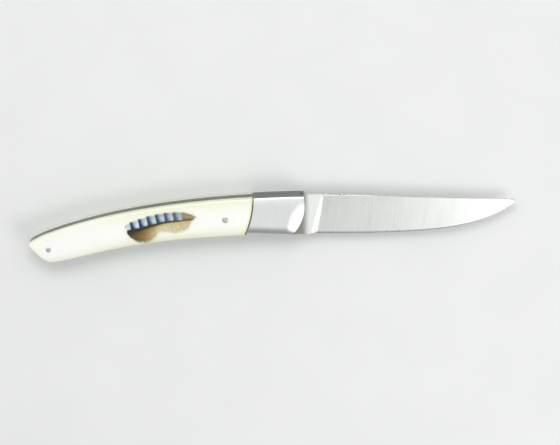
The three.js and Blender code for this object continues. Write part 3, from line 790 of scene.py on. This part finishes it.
def crown(p):
    """How far the outer face lies below its flat strip."""
    high = height_at(BACK, p.x)
    low = height_at(BOLSTER_BELLY if p.x > JOINT_BOTTOM.x else BELLY, p.x)
    rise = abs(p.y - (high + low) / 2) / ((high - low) / 2)
    return CROWN_DROP * max(0.0, (rise - CROWN_FLAT_SHARE) / (1 - CROWN_FLAT_SHARE)) ** 2


def rim_drop(reach, width, height):
    """How far a rounded edge has fallen at a distance in from the rim."""
    if reach >= width:
        return 0.0
    return height * (1 - math.sqrt(max(0.0, 1 - ((width - reach) / width) ** 2)))


known_reaches = {}


def reaches(p):
    """Distances from a point to the rim of the scale and to its joint with the bolster."""
    key = (round(p.x, 3), round(p.y, 3))
    if key not in known_reaches:
        known_reaches[key] = (distance(p, SCALE_RIM), distance(p, JOINT_LINE))
    return known_reaches[key]


def scale_face(p):
    rim, joint = reaches(p)
    return FACE_OUTER - max(crown(p) + rim_drop(rim, *SCALE_ROUND), JOINT_BEVEL - joint)


def pocket(p):
    """How deep the feather's pocket is under the outer face."""
    if not inside(p, WINDOW_LINE):
        return 0.0
    return POCKET_DEPTH * smoothstep(distance(p, WINDOW_LINE + WINDOW_LINE[:1]), 0, POCKET_SLOPE)


def soft_min(a, b, blend):
    share = max(0.0, blend - abs(a - b)) / blend
    return min(a, b) - share * share * blend / 4


def dish_face(p):
    """Height of the hollow that a crowned wheel leaves along the front of a bolster."""
    across = polar(1, DISH_ANGLE - 90)
    spot = p - across * DISH_REACH - polar(DISH_RISE, DISH_ANGLE)
    side = spot.dot(across)
    if abs(side) >= DISH_RADIUS:
        return FACE_OUTER + DISH_RADIUS
    wheel = DISH_LENGTH_RADIUS - DISH_RADIUS + math.sqrt(DISH_RADIUS ** 2 - side ** 2)
    run = spot.dot(polar(1, DISH_ANGLE))
    return FACE_OUTER - DISH_DEPTH + DISH_LENGTH_RADIUS - math.sqrt(wheel ** 2 - run ** 2)


def bolster_face(p):
    back_drop = rim_drop(distance(p, BOLSTER_BACK), *BOLSTER_ROUND)
    belly_drop = rim_drop(distance(p, BOLSTER_BELLY), *BOLSTER_BELLY_ROUND)
    edge = max(0.0, BOLSTER_JOINT_BEVEL - distance(p, JOINT_LINE))
    drop = max(crown(p) + back_drop + belly_drop, edge)
    return soft_min(FACE_OUTER - drop, dish_face(p), DISH_BLEND)


def patch(bottom, top, start, end, us, vs):
    """A grid of points between four side lines."""
    grid = []
    for u in us:
        row = []
        for v in vs:
            across = bottom(u).lerp(top(u), v)
            length = start(v).lerp(end(v), u)
            corners = bottom(0).lerp(bottom(1), u).lerp(top(0).lerp(top(1), u), v)
            row.append(across + length - corners)
        grid.append(row)
    return grid


def slab(name, grid, face, side, material, wall_material=None):
    """A closed piece on one side of the handle: flat on the liner, its outer face over the grid."""
    rows, columns = len(grid), len(grid[0])
    vertices = [(p.x, p.y, MIDDLE + side * face(p)) for row in grid for p in row]
    rim = grid_rim(rows, columns)
    low = range(len(vertices), len(vertices) + len(rim))
    vertices += [(*vertices[i][:2], MIDDLE + side * LINER_OUTER) for i in rim]
    faces = grid_faces(rows, columns) + wall(rim, low) + [tuple(low)]
    piece = to_object(name, vertices, faces, "handle", material)
    if wall_material:
        second_material(piece, wall_material, piece.data.polygons[-len(rim) - 1:])
    return piece


def shares(span, steps):
    """Shares from 0 to 1 that are close together at both ends, where the edges are rounded."""
    close = [d / span for d in RIM_STEPS]
    return close + even(close[-1], 1 - close[-1], steps)[1:-1] + [1 - s for s in reversed(close)]


def scale_grid():
    """A grid over a scale, whose corners at the butt lie halfway round its rounded tip and corner."""
    gap = Vector((JOINT_GAP, 0))
    front = BELLY_FRONT - gap
    half = CORNER_STEPS // 2
    back = stretch(BACK, JOINT_TOP.x - JOINT_GAP, BUTT_SHOULDER.x, 90)
    bottom = along([front] + BELLY_FINE[::-1] + CORNER_RUN[half:][::-1])
    top = along(back + SHOULDER_RUN + TIP_RUN[:half + 1])
    start = along([front] + [p - gap for p in JOINT_LINE])
    end = along((TIP_RUN[half:] + CORNER_RUN[:half + 1])[::-1])
    return patch(bottom, top, start, end, shares(SCALE_SPAN, 220), shares(FACE_SPAN, 46))


def bolster_grid():
    bottom = along(BOLSTER_BELLY)
    top = along(BOLSTER_BACK[::-1])
    return patch(bottom, top, along(JOINT_LINE), along(FRONT_LINE), shares(BOLSTER_SPAN, 60),
                 shares(FACE_SPAN, 44))


def pin_hole(at, radius, side):
    """A cutter for a pin's hole, a little wider at the face."""
    profile = [(radius, 0)] + [(radius + wider, FACE_OUTER + height) for wider, height in HOLE_MOUTH]
    return turned("pin_hole", profile, (at.x, at.y, MIDDLE), (0, 0, side), None, pin_steel)


def pin_place(node):
    """Centre and radius of a round pin along Z."""
    low, high = box_mm(node)
    return ((low + high) / 2).to_2d(), (high.x - low.x) / 2


def make_scales():
    grid = scale_grid()
    for name, side in (("left_scale", 1), ("right_scale", -1)):
        if side > 0:
            piece = slab(name + "_resin", grid, lambda p: scale_face(p) - pocket(p), side, scale_resin)
            under_clear(piece)
        else:
            piece = slab(name + "_resin", grid, scale_face, side, scale_resin)
        for node in ("butt_pin", name + "_pin"):
            at, radius = pin_place(node)
            cut(piece, pin_hole(at, radius + FIT, side))
        mark_reaches(piece)
        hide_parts(name)


def mark(piece, name, values):
    """Gives each point of a piece three numbers that its material reads."""
    attribute = piece.data.attributes.new(name, "FLOAT_VECTOR", "POINT")
    for i, value in enumerate(values):
        attribute.data[i].vector = value


def mark_reaches(piece):
    """Notes how far each point is from the scale's rim and from the joint, for the resin's tint."""
    values = []
    for vertex in piece.data.vertices:
        spot = vertex.co.to_2d() / MM
        rim, joint = reaches(spot)
        values.append((rim + BUTT_WHITE * smoothstep(-spot.x, *BUTT_WHITE_RUN), joint, 0))
    mark(piece, "reach", values)


def under_clear(piece):
    """Gives the floor of the pocket the resin that doesn't shine."""
    back = (MIDDLE + LINER_OUTER + OVER_LINER) * MM
    raised = [face for face in piece.data.polygons if face.center.z > back]
    floor = [face for face in raised if inside(face.center.to_2d() / MM, WINDOW_LINE)]
    second_material(piece, pocket_resin, floor)


def make_bolsters():
    grid = bolster_grid()
    for name, side in (("left_bolster", 1), ("right_bolster", -1)):
        piece = slab(name + "_shell", grid, bolster_face, side, bolster_steel, bolster_edge_steel)
        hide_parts(name)


def make_pins():
    """The pins that show: peened where they reach an outer face, plain where they end inside."""
    for node in ("butt_pin", "left_scale_pin", "right_scale_pin"):
        at, radius = pin_place(node)
        low, high = (corner.z for corner in box_mm(node))
        peened = [(radius * PIN_LEVEL_SHARE, 0.0)]
        peened += [(radius - inset, depth) for inset, depth in PIN_HEAD]
        plain = [(radius, 0.0)]
        bottom = peened if low < NEAR_FACE else plain
        top = peened if high > 2 * MIDDLE - NEAR_FACE else plain
        profile = [(r, low + z) for r, z in bottom] + [(r, high - z) for r, z in reversed(top)]
        piece = turned(node + "_peened", profile, (at.x, at.y, 0), (0, 0, 1), "handle", pin_steel)
        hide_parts(node)


# Blade
SPINE_END = Vector((BLADE_REACH - SPINE_TIP_LENGTH, SPINE_RISE - SPINE_FALL))
TIP = Vector((BLADE_REACH, TIP_RISE))
SPINE = bend(Vector((SHOULDER, SPINE_RISE)), 0, SPINE_PULL, SPINE_END, -SPINE_TIP_SLOPE, SPINE_TIP_PULL)
SPINE_TIP = [SPINE_END, SPINE_END + polar(SPINE_TIP_SHARE * SPINE_TIP_LENGTH, -SPINE_TIP_SLOPE), TIP]
EDGE_BELLY = bend(Vector((BELLY_START, -EDGE_DROP)), 0, BELLY_PULL, TIP, TIP_ANGLE, TIP_PULL)
SPRING_UNDER = height_at(BACK, 0) - SPRING_DEPTH
TANG_FLAT = SPRING_UNDER - TANG_CLEARANCE
CAM_RADIUS = SPRING_UNDER + CAM_LIFT
TANG_CORNER = math.sqrt(CAM_RADIUS ** 2 - TANG_FLAT ** 2)
PLUNGE_TOP_X = PLUNGE_REACH + PLUNGE_SLANT
SPINE_TURNS = [math.radians(a) for a in (0, 30, 60, 90)]


def edge_height(x):
    return -EDGE_DROP if x < BELLY_START else height_at(EDGE_BELLY, x)


def spine_height(x):
    return height_at(SPINE, x) if x < SPINE_END.x else height_at(SPINE_TIP, x)


def ground_half(share, rise):
    """Half the thickness of the ground blade at a share of its length and of its height."""
    full = mix(GROUND_HALF, TIP_HALF, share ** TAPER_POWER)
    ground = mix(EDGE_HALF, full, rise ** HOLLOW_POWER)
    run = math.hypot(share * (BLADE_REACH - PLUNGE_REACH), PLUNGE_SOFTNESS) - PLUNGE_SOFTNESS
    return -soft_min(-ground, mix(*PLUNGE_SLOPE, rise) * run - BLADE_HALF, PLUNGE_BLEND)


def blade_section(low_x, low_y, high_x, rises, half):
    """One closed section of the blade, from its edge up the left side and down the right."""
    low = Vector((low_x, low_y))
    high = Vector((high_x, spine_height(high_x)))
    side = [(low.lerp(high, rise), half(rise)) for rise in rises[:-1]]
    for turn in SPINE_TURNS:
        drop = Vector((0, SPINE_ROUND * (1 - math.sin(turn))))
        side.append((high - drop, half(1) - SPINE_ROUND * (1 - math.cos(turn))))
    ring = [(low.x, low.y, MIDDLE)]
    ring += [(p.x, p.y, MIDDLE + z) for p, z in side]
    ring += [(p.x, p.y, MIDDLE - z) for p, z in reversed(side)]
    return ring


def tang_points():
    """The hidden end of the blade, from its shoulder under the spring round the cam and heel to the kick,
    and the height of the belly side where it leaves the kick."""
    corner_angle = 180 - math.degrees(math.atan2(TANG_FLAT, TANG_CORNER))
    cam = arc(CAM_RADIUS, corner_angle, CAM_END, 20)
    ramp = []
    for share in even(0, 1, 20):
        radius = mix(CAM_RADIUS, HEEL_RADIUS, smoothstep(share, 0, 1))
        ramp.append(polar(radius, mix(CAM_END, HEEL_START, share)))
    heel = arc(HEEL_RADIUS, HEEL_START, HEEL_END, 4)[1:]
    closed = math.radians(180 - CLOSE_ANGLE)
    kick = Vector((KICK_REACH, -(TANG_FLAT + KICK_REACH * math.sin(closed)) / math.cos(closed)))
    rise = [heel[-1], Vector((KICK_REACH - KICK_RUN, -HEEL_RADIUS - KICK_DIP)), kick]
    foot = mix(kick.y, -RICASSO_DROP, (SHOULDER - KICK_REACH) / (RICASSO_END - KICK_REACH))
    return joined(cam, ramp, heel, sampled(rise, 8)), foot


def blade_rises(foot):
    """Shares of the blade's height for the rows of its faces. One row meets the tang's shoulder."""
    step = (TANG_FLAT - foot) / (SPINE_RISE - foot)
    rows = [mix(FIRST_RISE, 1, share ** ROW_SPREAD) for share in even(0, 1, GRIND_ROWS)]
    nearest = min(range(len(rows)), key=lambda i: abs(rows[i] - step))
    rows[nearest] = step
    return rows, nearest


def ricasso_rings(foot, rises):
    """Sections of the flat ricasso, which lean over to the slant of the plunge."""
    rings = []
    for x in RICASSO_PLACES:
        low_y = mix(foot, -RICASSO_DROP, (x - SHOULDER) / (RICASSO_END - SHOULDER))
        high_x = mix(SHOULDER, PLUNGE_TOP_X, (x - SHOULDER) / (PLUNGE_REACH - SHOULDER))
        rings.append(blade_section(x, low_y, high_x, rises, lambda rise: BLADE_HALF))
    return rings


def ground_rings(rises):
    """Sections of the ground blade, from the plunge to the point."""
    length = BLADE_REACH - PLUNGE_REACH
    end = length - TIP_RADIUS
    far = [mix(PLUNGE_STEPS[-1], end, share ** ROW_SPREAD) for share in even(0, 1, 90)[1:]]
    rings = []
    for reach in [*PLUNGE_STEPS, *far]:
        share = reach / length
        low_x = PLUNGE_REACH + reach
        high_x = mix(PLUNGE_TOP_X, BLADE_REACH - TIP_RADIUS, reach / end)
        rings.append(blade_section(low_x, edge_height(low_x), high_x, rises,
                                   lambda rise: ground_half(share, rise)))
    return rings


def make_blade():
    tang, foot = tang_points()
    rises, step = blade_rises(foot)
    rings = ricasso_rings(foot, rises) + ground_rings(rises)
    vertices = [p for ring in rings for p in ring]
    count = len(rings[0])
    last = len(vertices) - count
    faces = tube(len(rings), count)
    faces.append((last, last + 1, last + count - 1))
    for j in range(1, (count - 1) // 2):
        faces.append((last + j, last + j + 1, last + count - j - 1, last + count - j))
    ground_end = len(faces)
    close_tang(vertices, faces, tang, step, count)
    piece = to_object("blade_ground", vertices, faces, "blade", blade_steel, BLADE_SHARP_ANGLE)
    polygons = piece.data.polygons
    flat_end = len(RICASSO_PLACES) * count
    second_material(piece, ricasso_steel, [*polygons[:flat_end], *polygons[ground_end:]])
    bevel(piece, BLADE_EDGE_BREAK)
    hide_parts("blade")


def close_tang(vertices, faces, tang, step, count):
    """Adds the tang behind the first ring: two flat faces, the wall round them and the shoulder's step."""
    left = [1 + i for i in range(step + 1)]
    right = [count - 1 - i for i in range(step + 1)]
    size = len(tang)
    upper = range(len(vertices), len(vertices) + size)
    lower = range(upper.stop, upper.stop + size)
    for z in (MIDDLE + BLADE_HALF, MIDDLE - BLADE_HALF):
        vertices += [(p.x, p.y, z) for p in tang]
    faces.append((*left, *upper))
    faces.append((*right, *lower))
    for i in range(size - 1):
        faces.append((upper[i], upper[i + 1], lower[i + 1], lower[i]))
    faces.append((left[-1], upper[0], lower[0], right[-1]))
    faces.append((upper[-1], left[0], 0, right[0], lower[-1]))
    for i in range(step, (count - 1) // 2 - 1):
        faces.append((1 + i, 2 + i, count - 2 - i, count - 1 - i))


# Backspring
def spring_underside(from_x):
    flat_end = -TANG_CORNER - SPRING_FLAT_MARGIN
    deepest = height_at(BACK, flat_end) - SPRING_UNDER
    points = []
    for x in even(from_x, flat_end, 60):
        slope = height_at(BACK, x + 0.5) - height_at(BACK, x - 0.5)
        depth = mix(deepest, SPRING_MID_DEPTH, smoothstep(-x, -flat_end, SPRING_TAPER))
        points.append(Vector((x, height_at(BACK, x) - depth * math.hypot(1, slope))))
    return points


def angle_on_belly(radius):
    """The angle at which a circle round the pivot meets the belly."""
    x = last_that_holds(-radius, -radius / 2, lambda at: math.hypot(at, height_at(BELLY, at)) > radius)
    return math.degrees(math.atan2(height_at(BELLY, x), x)) % 360


def make_spring():
    tail_radius = math.hypot(BLADE_REACH, TIP_RISE) + TIP_CLEARANCE
    under = [p for p in spring_underside(-tail_radius) if p.length < tail_radius - TAIL_MARGIN]
    arc_top = math.degrees(math.atan2(under[0].y, under[0].x)) % 360
    tail = arc(tail_radius, angle_on_belly(tail_radius), arc_top, 16)
    nose_low = Vector((SPRING_NOSE, SPRING_UNDER))
    nose_high = on_curve(BACK, SPRING_NOSE)
    nose_back = on_curve(BACK, SPRING_NOSE - SPRING_NOSE_RADIUS)
    outline = joined(
        stretch(BACK, nose_back.x, BUTT_SHOULDER.x, 90),
        BUTT_RIM,
        stretch(BELLY, BELLY_END_X, tail[0].x, 6),
        tail,
        under,
        [nose_low],
        rounded(nose_low, nose_high, nose_back, SPRING_NOSE_RADIUS),
    )
    piece = prism("backspring_bar", outline, MIDDLE - SPRING_HALF, MIDDLE + SPRING_HALF, None, spring_steel)
    bevel(piece, EDGE_BREAK)
    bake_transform(piece)
    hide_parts("backspring")


def make_stud():
    """The stud on the spine: a shank, a short neck and a domed head."""
    low, high = box_mm("opening_stud")
    radius = (high.x - low.x) / 2
    profile = [(STUD_SHANK, low.y - high.y), (STUD_SHANK, -STUD_HEIGHT),
               (STUD_NECK, -STUD_HEIGHT + STUD_NECK_STEP), (STUD_NECK, STUD_NECK_TOP),
               (radius - STUD_CHAMFER, STUD_DOME[0][1] - STUD_CHAMFER)]
    profile += [(radius * share, height) for share, height in STUD_DOME]
    centre = ((low.x + high.x) / 2, high.y, MIDDLE)
    piece = turned("opening_stud_turned", profile, centre, (0, 1, 0), "blade", stud_steel)
    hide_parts("opening_stud")


# Feather
SHAFT_POINTS = spline([Vector(p) for p in SHAFT_LINE], 60)
VANE_POINTS = spline([Vector(p) for p in VANE_TOP], 80)
DOWN_POINTS = spline([Vector(p) for p in DOWN_BOTTOM], 90)
along_shaft = along(SHAFT_POINTS)


def line_height(line, x):
    """Height of a line of points at a place along X, held at its ends."""
    if x <= line[0].x:
        return line[0].y
    for a, b in zip(line, line[1:]):
        if a.x <= x <= b.x:
            return mix(a.y, b.y, (x - a.x) / max(b.x - a.x, TINY))
    return line[-1].y


def under_shaft(spot):
    """How far a point lies below the shaft."""
    return max(0.0, line_height(SHAFT_POINTS, spot.x) - spot.y)


def floor_height(p):
    """Height of the pocket's floor over the middle plane, at a point measured from the inlay's middle."""
    spot = p + INLAY
    return FACE_OUTER - crown(spot) - pocket(spot)


def barb(barbs, curve, width, lift, place):
    """Adds one barb: a thin three-sided blade that follows a curve over the pocket's floor."""
    vertices, faces, places = barbs
    start = len(vertices)
    for t in even(0, 1, BARB_STEPS):
        centre = bezier(curve, t)
        ahead = bezier(curve, min(t + BARB_AIM, 1)) - bezier(curve, max(t - BARB_AIM, 0))
        side = Vector((-ahead.y, ahead.x)).normalized() * width * (1 - BARB_TAPER * t ** 3) / 2
        base = MIDDLE + floor_height(centre) + lift
        for spot, z in ((centre - side, base), (centre + side, base), (centre, base + width * BARB_RIDGE)):
            vertices.append((spot.x + INLAY.x, spot.y + INLAY.y, z))
            places.append(place(spot, t))
    end = len(vertices) - 3
    faces += tube(BARB_STEPS + 1, 3, start)
    faces.append((start, start + 2, start + 1))
    faces.append((end, end + 1, end + 2))


def feather_piece(name, node, barbs, material):
    vertices, faces, places = barbs
    piece = to_object(name, vertices, faces, "handle", material, NONE_SHARP)
    mark(piece, "place", places)
    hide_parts(node)


def bar_at(x, y):
    """Which bar a point is on, with its fraction across the bar."""
    return (x + BAR_LEAN * y - FIRST_BAR_X) / BAR_PITCH


def barred_place(spot, t):
    """Bar with its fraction, height on the vane and share across the bar, which lags near the shaft."""
    bar = bar_at(spot.x, spot.y)
    return bar, t, min(max(bar % 1 - BAR_DELAY * (1 - t) ** 2, 0.0), 1.0)


def vane_top(x):
    """Height of the barred vane: each bar is nearly level, and the vane is notched between bars."""
    top = line_height(VANE_POINTS, x)
    bar = bar_at(x, top)
    if not 0 <= bar < BAR_COUNT:
        return top
    middle_x = FIRST_BAR_X + (math.floor(bar) + 0.5) * BAR_PITCH - BAR_LEAN * top
    level = line_height(VANE_POINTS, middle_x)
    return mix(top, level, BAR_LEVELLING) - BAR_NOTCH * abs(2 * (bar % 1) - 1) ** 4


def make_barred_vane():
    barbs = ([], [], [])
    for x in even(VANE_POINTS[0].x, VANE_POINTS[-1].x - BARRED_END_GAP, BARRED_BARBS - 1):
        tip = Vector((x, vane_top(x) + random.uniform(-BARB_UNEVENNESS, BARB_UNEVENNESS)))
        root_x = x - BARB_LEAN * (tip.y - line_height(SHAFT_POINTS, x))
        root_x = max(SHAFT_POINTS[0].x, min(root_x, SHAFT_POINTS[-1].x))
        root = Vector((root_x, line_height(SHAFT_POINTS, root_x) + BARB_ROOT_RISE))
        curve = [root, root.lerp(tip, 0.5) + Vector(BARB_BEND), tip]
        barb(barbs, curve, BARRED_WIDTH, BARRED_LIFT, barred_place)
    feather_piece("barred_vane_barbs", "feather_barred_vane", barbs, barred_vane)


def down_end(share):
    """The place along X that a barb from a share of the shaft's length reaches."""
    return mix(DOWN_POINTS[0].x, DOWN_POINTS[-1].x, share ** DOWN_SWEEP)


def downy_membrane(barbs):
    """Adds the felted layer of fine barbs that fills the downy vane under its strands."""
    vertices, faces, places = barbs
    columns, rows = 90, 8
    for lift in (MEMBRANE_LIFT, 0.0):
        for share in even(0, 1, columns):
            root = along_shaft(share)
            end_x = down_end(share)
            end = Vector((end_x, line_height(DOWN_POINTS, end_x)))
            reach = mix(*MEMBRANE_REACH, smoothstep(share, *FRAYED))
            for j in range(rows + 1):
                spot = root.lerp(end, reach * j / rows)
                vertices.append((spot.x + INLAY.x, spot.y + INLAY.y, MIDDLE + floor_height(spot) + lift))
                places.append((spot.x, under_shaft(spot), STRAND_TONES // 2 + reach * j / rows))
    low = len(vertices) // 2
    for a, b, c, d in grid_faces(columns + 1, rows + 1):
        faces.append((a, b, c, d))
        faces.append((low + a, low + d, low + c, low + b))
    rim = grid_rim(columns + 1, rows + 1)
    faces += wall(rim, [low + i for i in rim])


def make_downy_vane():
    barbs = ([], [], [])
    downy_membrane(barbs)
    for share in even(0, 1, DOWNY_BARBS - 1):
        root = along_shaft(max(0.0, share - STRAND_BACK * random.random()))
        end_x = min(down_end(share) + random.uniform(*STRAND_DRIFT), DOWN_POINTS[-1].x)
        fall = 1 - mix(*RAGGED, smoothstep(share, *FRAYED)) * random.random() ** RAGGED_POWER
        tip = Vector((end_x, mix(root.y, line_height(DOWN_POINTS, end_x), fall)))
        curl = Vector((random.uniform(*STRAND_CURL_X), random.uniform(*STRAND_CURL_Y)))
        own = random.randrange(STRAND_TONES)
        barb(barbs, [root, root.lerp(tip, 0.5) + curl, tip], DOWNY_WIDTH, DOWNY_LIFT,
             lambda spot, t: (spot.x, under_shaft(spot), own + UNDER_ONE * t))
    feather_piece("downy_vane_barbs", "feather_downy_vane", barbs, downy_vane)


def make_shaft():
    sides = 8
    vertices = []
    for i, p in enumerate(SHAFT_POINTS):
        radius = mix(SHAFT_RADIUS, SHAFT_TIP_RADIUS, i / (len(SHAFT_POINTS) - 1))
        base = MIDDLE + floor_height(p) + SHAFT_LIFT + radius
        for j in range(sides):
            angle = 2 * math.pi * j / sides
            y = p.y + INLAY.y + radius * math.cos(angle)
            vertices.append((p.x + INLAY.x, y, base + radius * math.sin(angle)))
    faces = capped_tube(len(SHAFT_POINTS), sides)
    piece = to_object("feather_shaft_quill", vertices, faces, "handle", shaft_horn, NONE_SHARP)
    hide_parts("feather_shaft")


def make_window():
    """The clear resin: its upper face lies flush with the scale, its lower one just over the feather."""
    centre = INLAY + Vector(WINDOW_CENTRE)
    count = len(WINDOW_LINE)
    rings = len(WINDOW_RINGS)
    vertices = []
    for upper in (True, False):
        for share in WINDOW_RINGS[0 if upper else 1:]:
            for p in WINDOW_LINE:
                spot = centre.lerp(p, share)
                face = FACE_OUTER - crown(spot)
                lower = face - max(WINDOW_THIN, pocket(spot) - BARB_ROOM)
                vertices.append((spot.x, spot.y, MIDDLE + (face + WINDOW_STAND if upper else lower)))
    under = rings * count
    faces = tube(rings, count) + [tuple(range(under - count, under))]
    upper_faces = len(faces)
    faces += wall(range(count), range(under, under + count)) + tube(rings - 1, count, under)
    faces.append(tuple(range(len(vertices) - count, len(vertices))))
    piece = to_object("clear_window", vertices, faces, "handle", window_resin)
    second_material(piece, window_back, piece.data.polygons[upper_faces:])
    piece.visible_shadow = False
    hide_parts("resin_window")


def dress_kept_nodes():
    """Gives the CAD's own pieces that stay their finish, and the liners a small rounding."""
    finishes = {
        "left_liner": liner_steel, "right_liner": liner_steel,
        "left_washer": washer_bronze, "right_washer": washer_bronze,
        "pivot_pin": pin_steel, "fulcrum_pin": pin_steel,
    }
    for side in ("left", "right"):
        for place in ("back", "belly"):
            finishes[side + "_bolster_rivet_" + place] = pin_steel
    for node, material in finishes.items():
        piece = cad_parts[node]
        for material_slot in piece.material_slots:
            material_slot.material = material
        if node.endswith("liner"):
            weld = piece.modifiers.new("weld", "WELD")
            weld.merge_threshold = WELD_REACH * MM
            bevel(piece, EDGE_BREAK)


def make_floor():
    """Matt studio paper, pale, in one broad sheet."""
    material, add, shader = finish("studio_paper")
    place = add("TexCoord").outputs["Object"]
    fibre = add("TexNoise", {"Vector": place, "Scale": 1 / (30 * MM), "Detail": 2.0})
    tone = add("ValToRGB", {"Fac": fibre}, [(0.2, "#E6E7E6"), (0.8, "#EAEBEA")])
    feed(shader, {"Base Color": tone, "Roughness": 0.9, "Specular IOR Level": 0.1})
    mesh = bpy.data.meshes.new("paper")
    corners = [(-1, -1), (1, -1), (1, 1), (-1, 1)]
    mesh.from_pydata([(x * PAPER_REACH, y * PAPER_REACH, 0) for x, y in corners], [], [(0, 1, 2, 3)])
    mesh.materials.append(material)
    floor = into_scene("paper", mesh)


def make_camera():
    """A long lens, tilted towards the back of the knife."""
    data = bpy.data.cameras.new("camera")
    data.lens = LENS
    data.sensor_width = SENSOR_WIDTH
    camera = into_scene("camera", data)
    camera.location = VIEW_TARGET + Vector((0, math.sin(VIEW_TILT), math.cos(VIEW_TILT))) * VIEW_DISTANCE
    camera.rotation_euler = (-VIEW_TILT, 0, 0)
    bpy.context.scene.camera = camera


def add_lamp(name, place, aim, size, power):
    """A rectangular soft box that faces a point."""
    data = bpy.data.lights.new(name, "AREA")
    data.shape = "RECTANGLE"
    data.size, data.size_y = size
    data.energy = power
    lamp = into_scene(name, data)
    lamp.location = place
    lamp.rotation_euler = (Vector(place) - Vector(aim)).to_track_quat("Z", "Y").to_euler()


def make_light():
    """A dome that is brightest behind the camera, with a soft glow low on the right for the hollow faces.
    A soft box over the tip brightens the blade towards it, and one behind the camera lights the back."""
    world = bpy.data.worlds.new("studio")
    world.use_nodes = True
    add = partial(add_node, world.node_tree)
    direction = add("TexCoord").outputs["Generated"]
    upward = add("VectorMath", {0: direction, 1: DOME_TOP}, operation="DOT_PRODUCT")
    height = add("MapRange", {"Value": upward, "From Min": -0.5, "From Max": 1.0})
    dome = add("ValToRGB", {"Fac": height}, [
        (0.0, "#B7B8B9"), (1.0, "#E7E8E8"), (0.25, "#ABACAD"), (0.43, "#77797A"), (0.63, "#929495"),
        (0.745, "#DBDCDC"), (0.82, "#FBFBFB"), (0.93, "#EBECEC")])
    sideward = add("VectorMath", {0: direction, 1: SIDE_GLOW}, operation="DOT_PRODUCT")
    glow = add("MapRange", {"Value": sideward, "From Min": 0.84, "From Max": 0.99},
               interpolation_type="SMOOTHSTEP")
    sky = add("Mix", {"Factor": glow, "A": dome, "B": GLOW_COLOUR}, data_type="RGBA")
    feed(world.node_tree.nodes["Background"], {"Color": sky})
    bpy.context.scene.world = world
    for lamp in LAMPS:
        add_lamp(*lamp)


make_scales()
make_bolsters()
make_pins()
make_blade()
make_spring()
make_stud()
make_barred_vane()
make_downy_vane()
make_shaft()
make_window()
dress_kept_nodes()
make_floor()
make_camera()
make_light()
bpy.context.scene.view_settings.view_transform = "Standard"
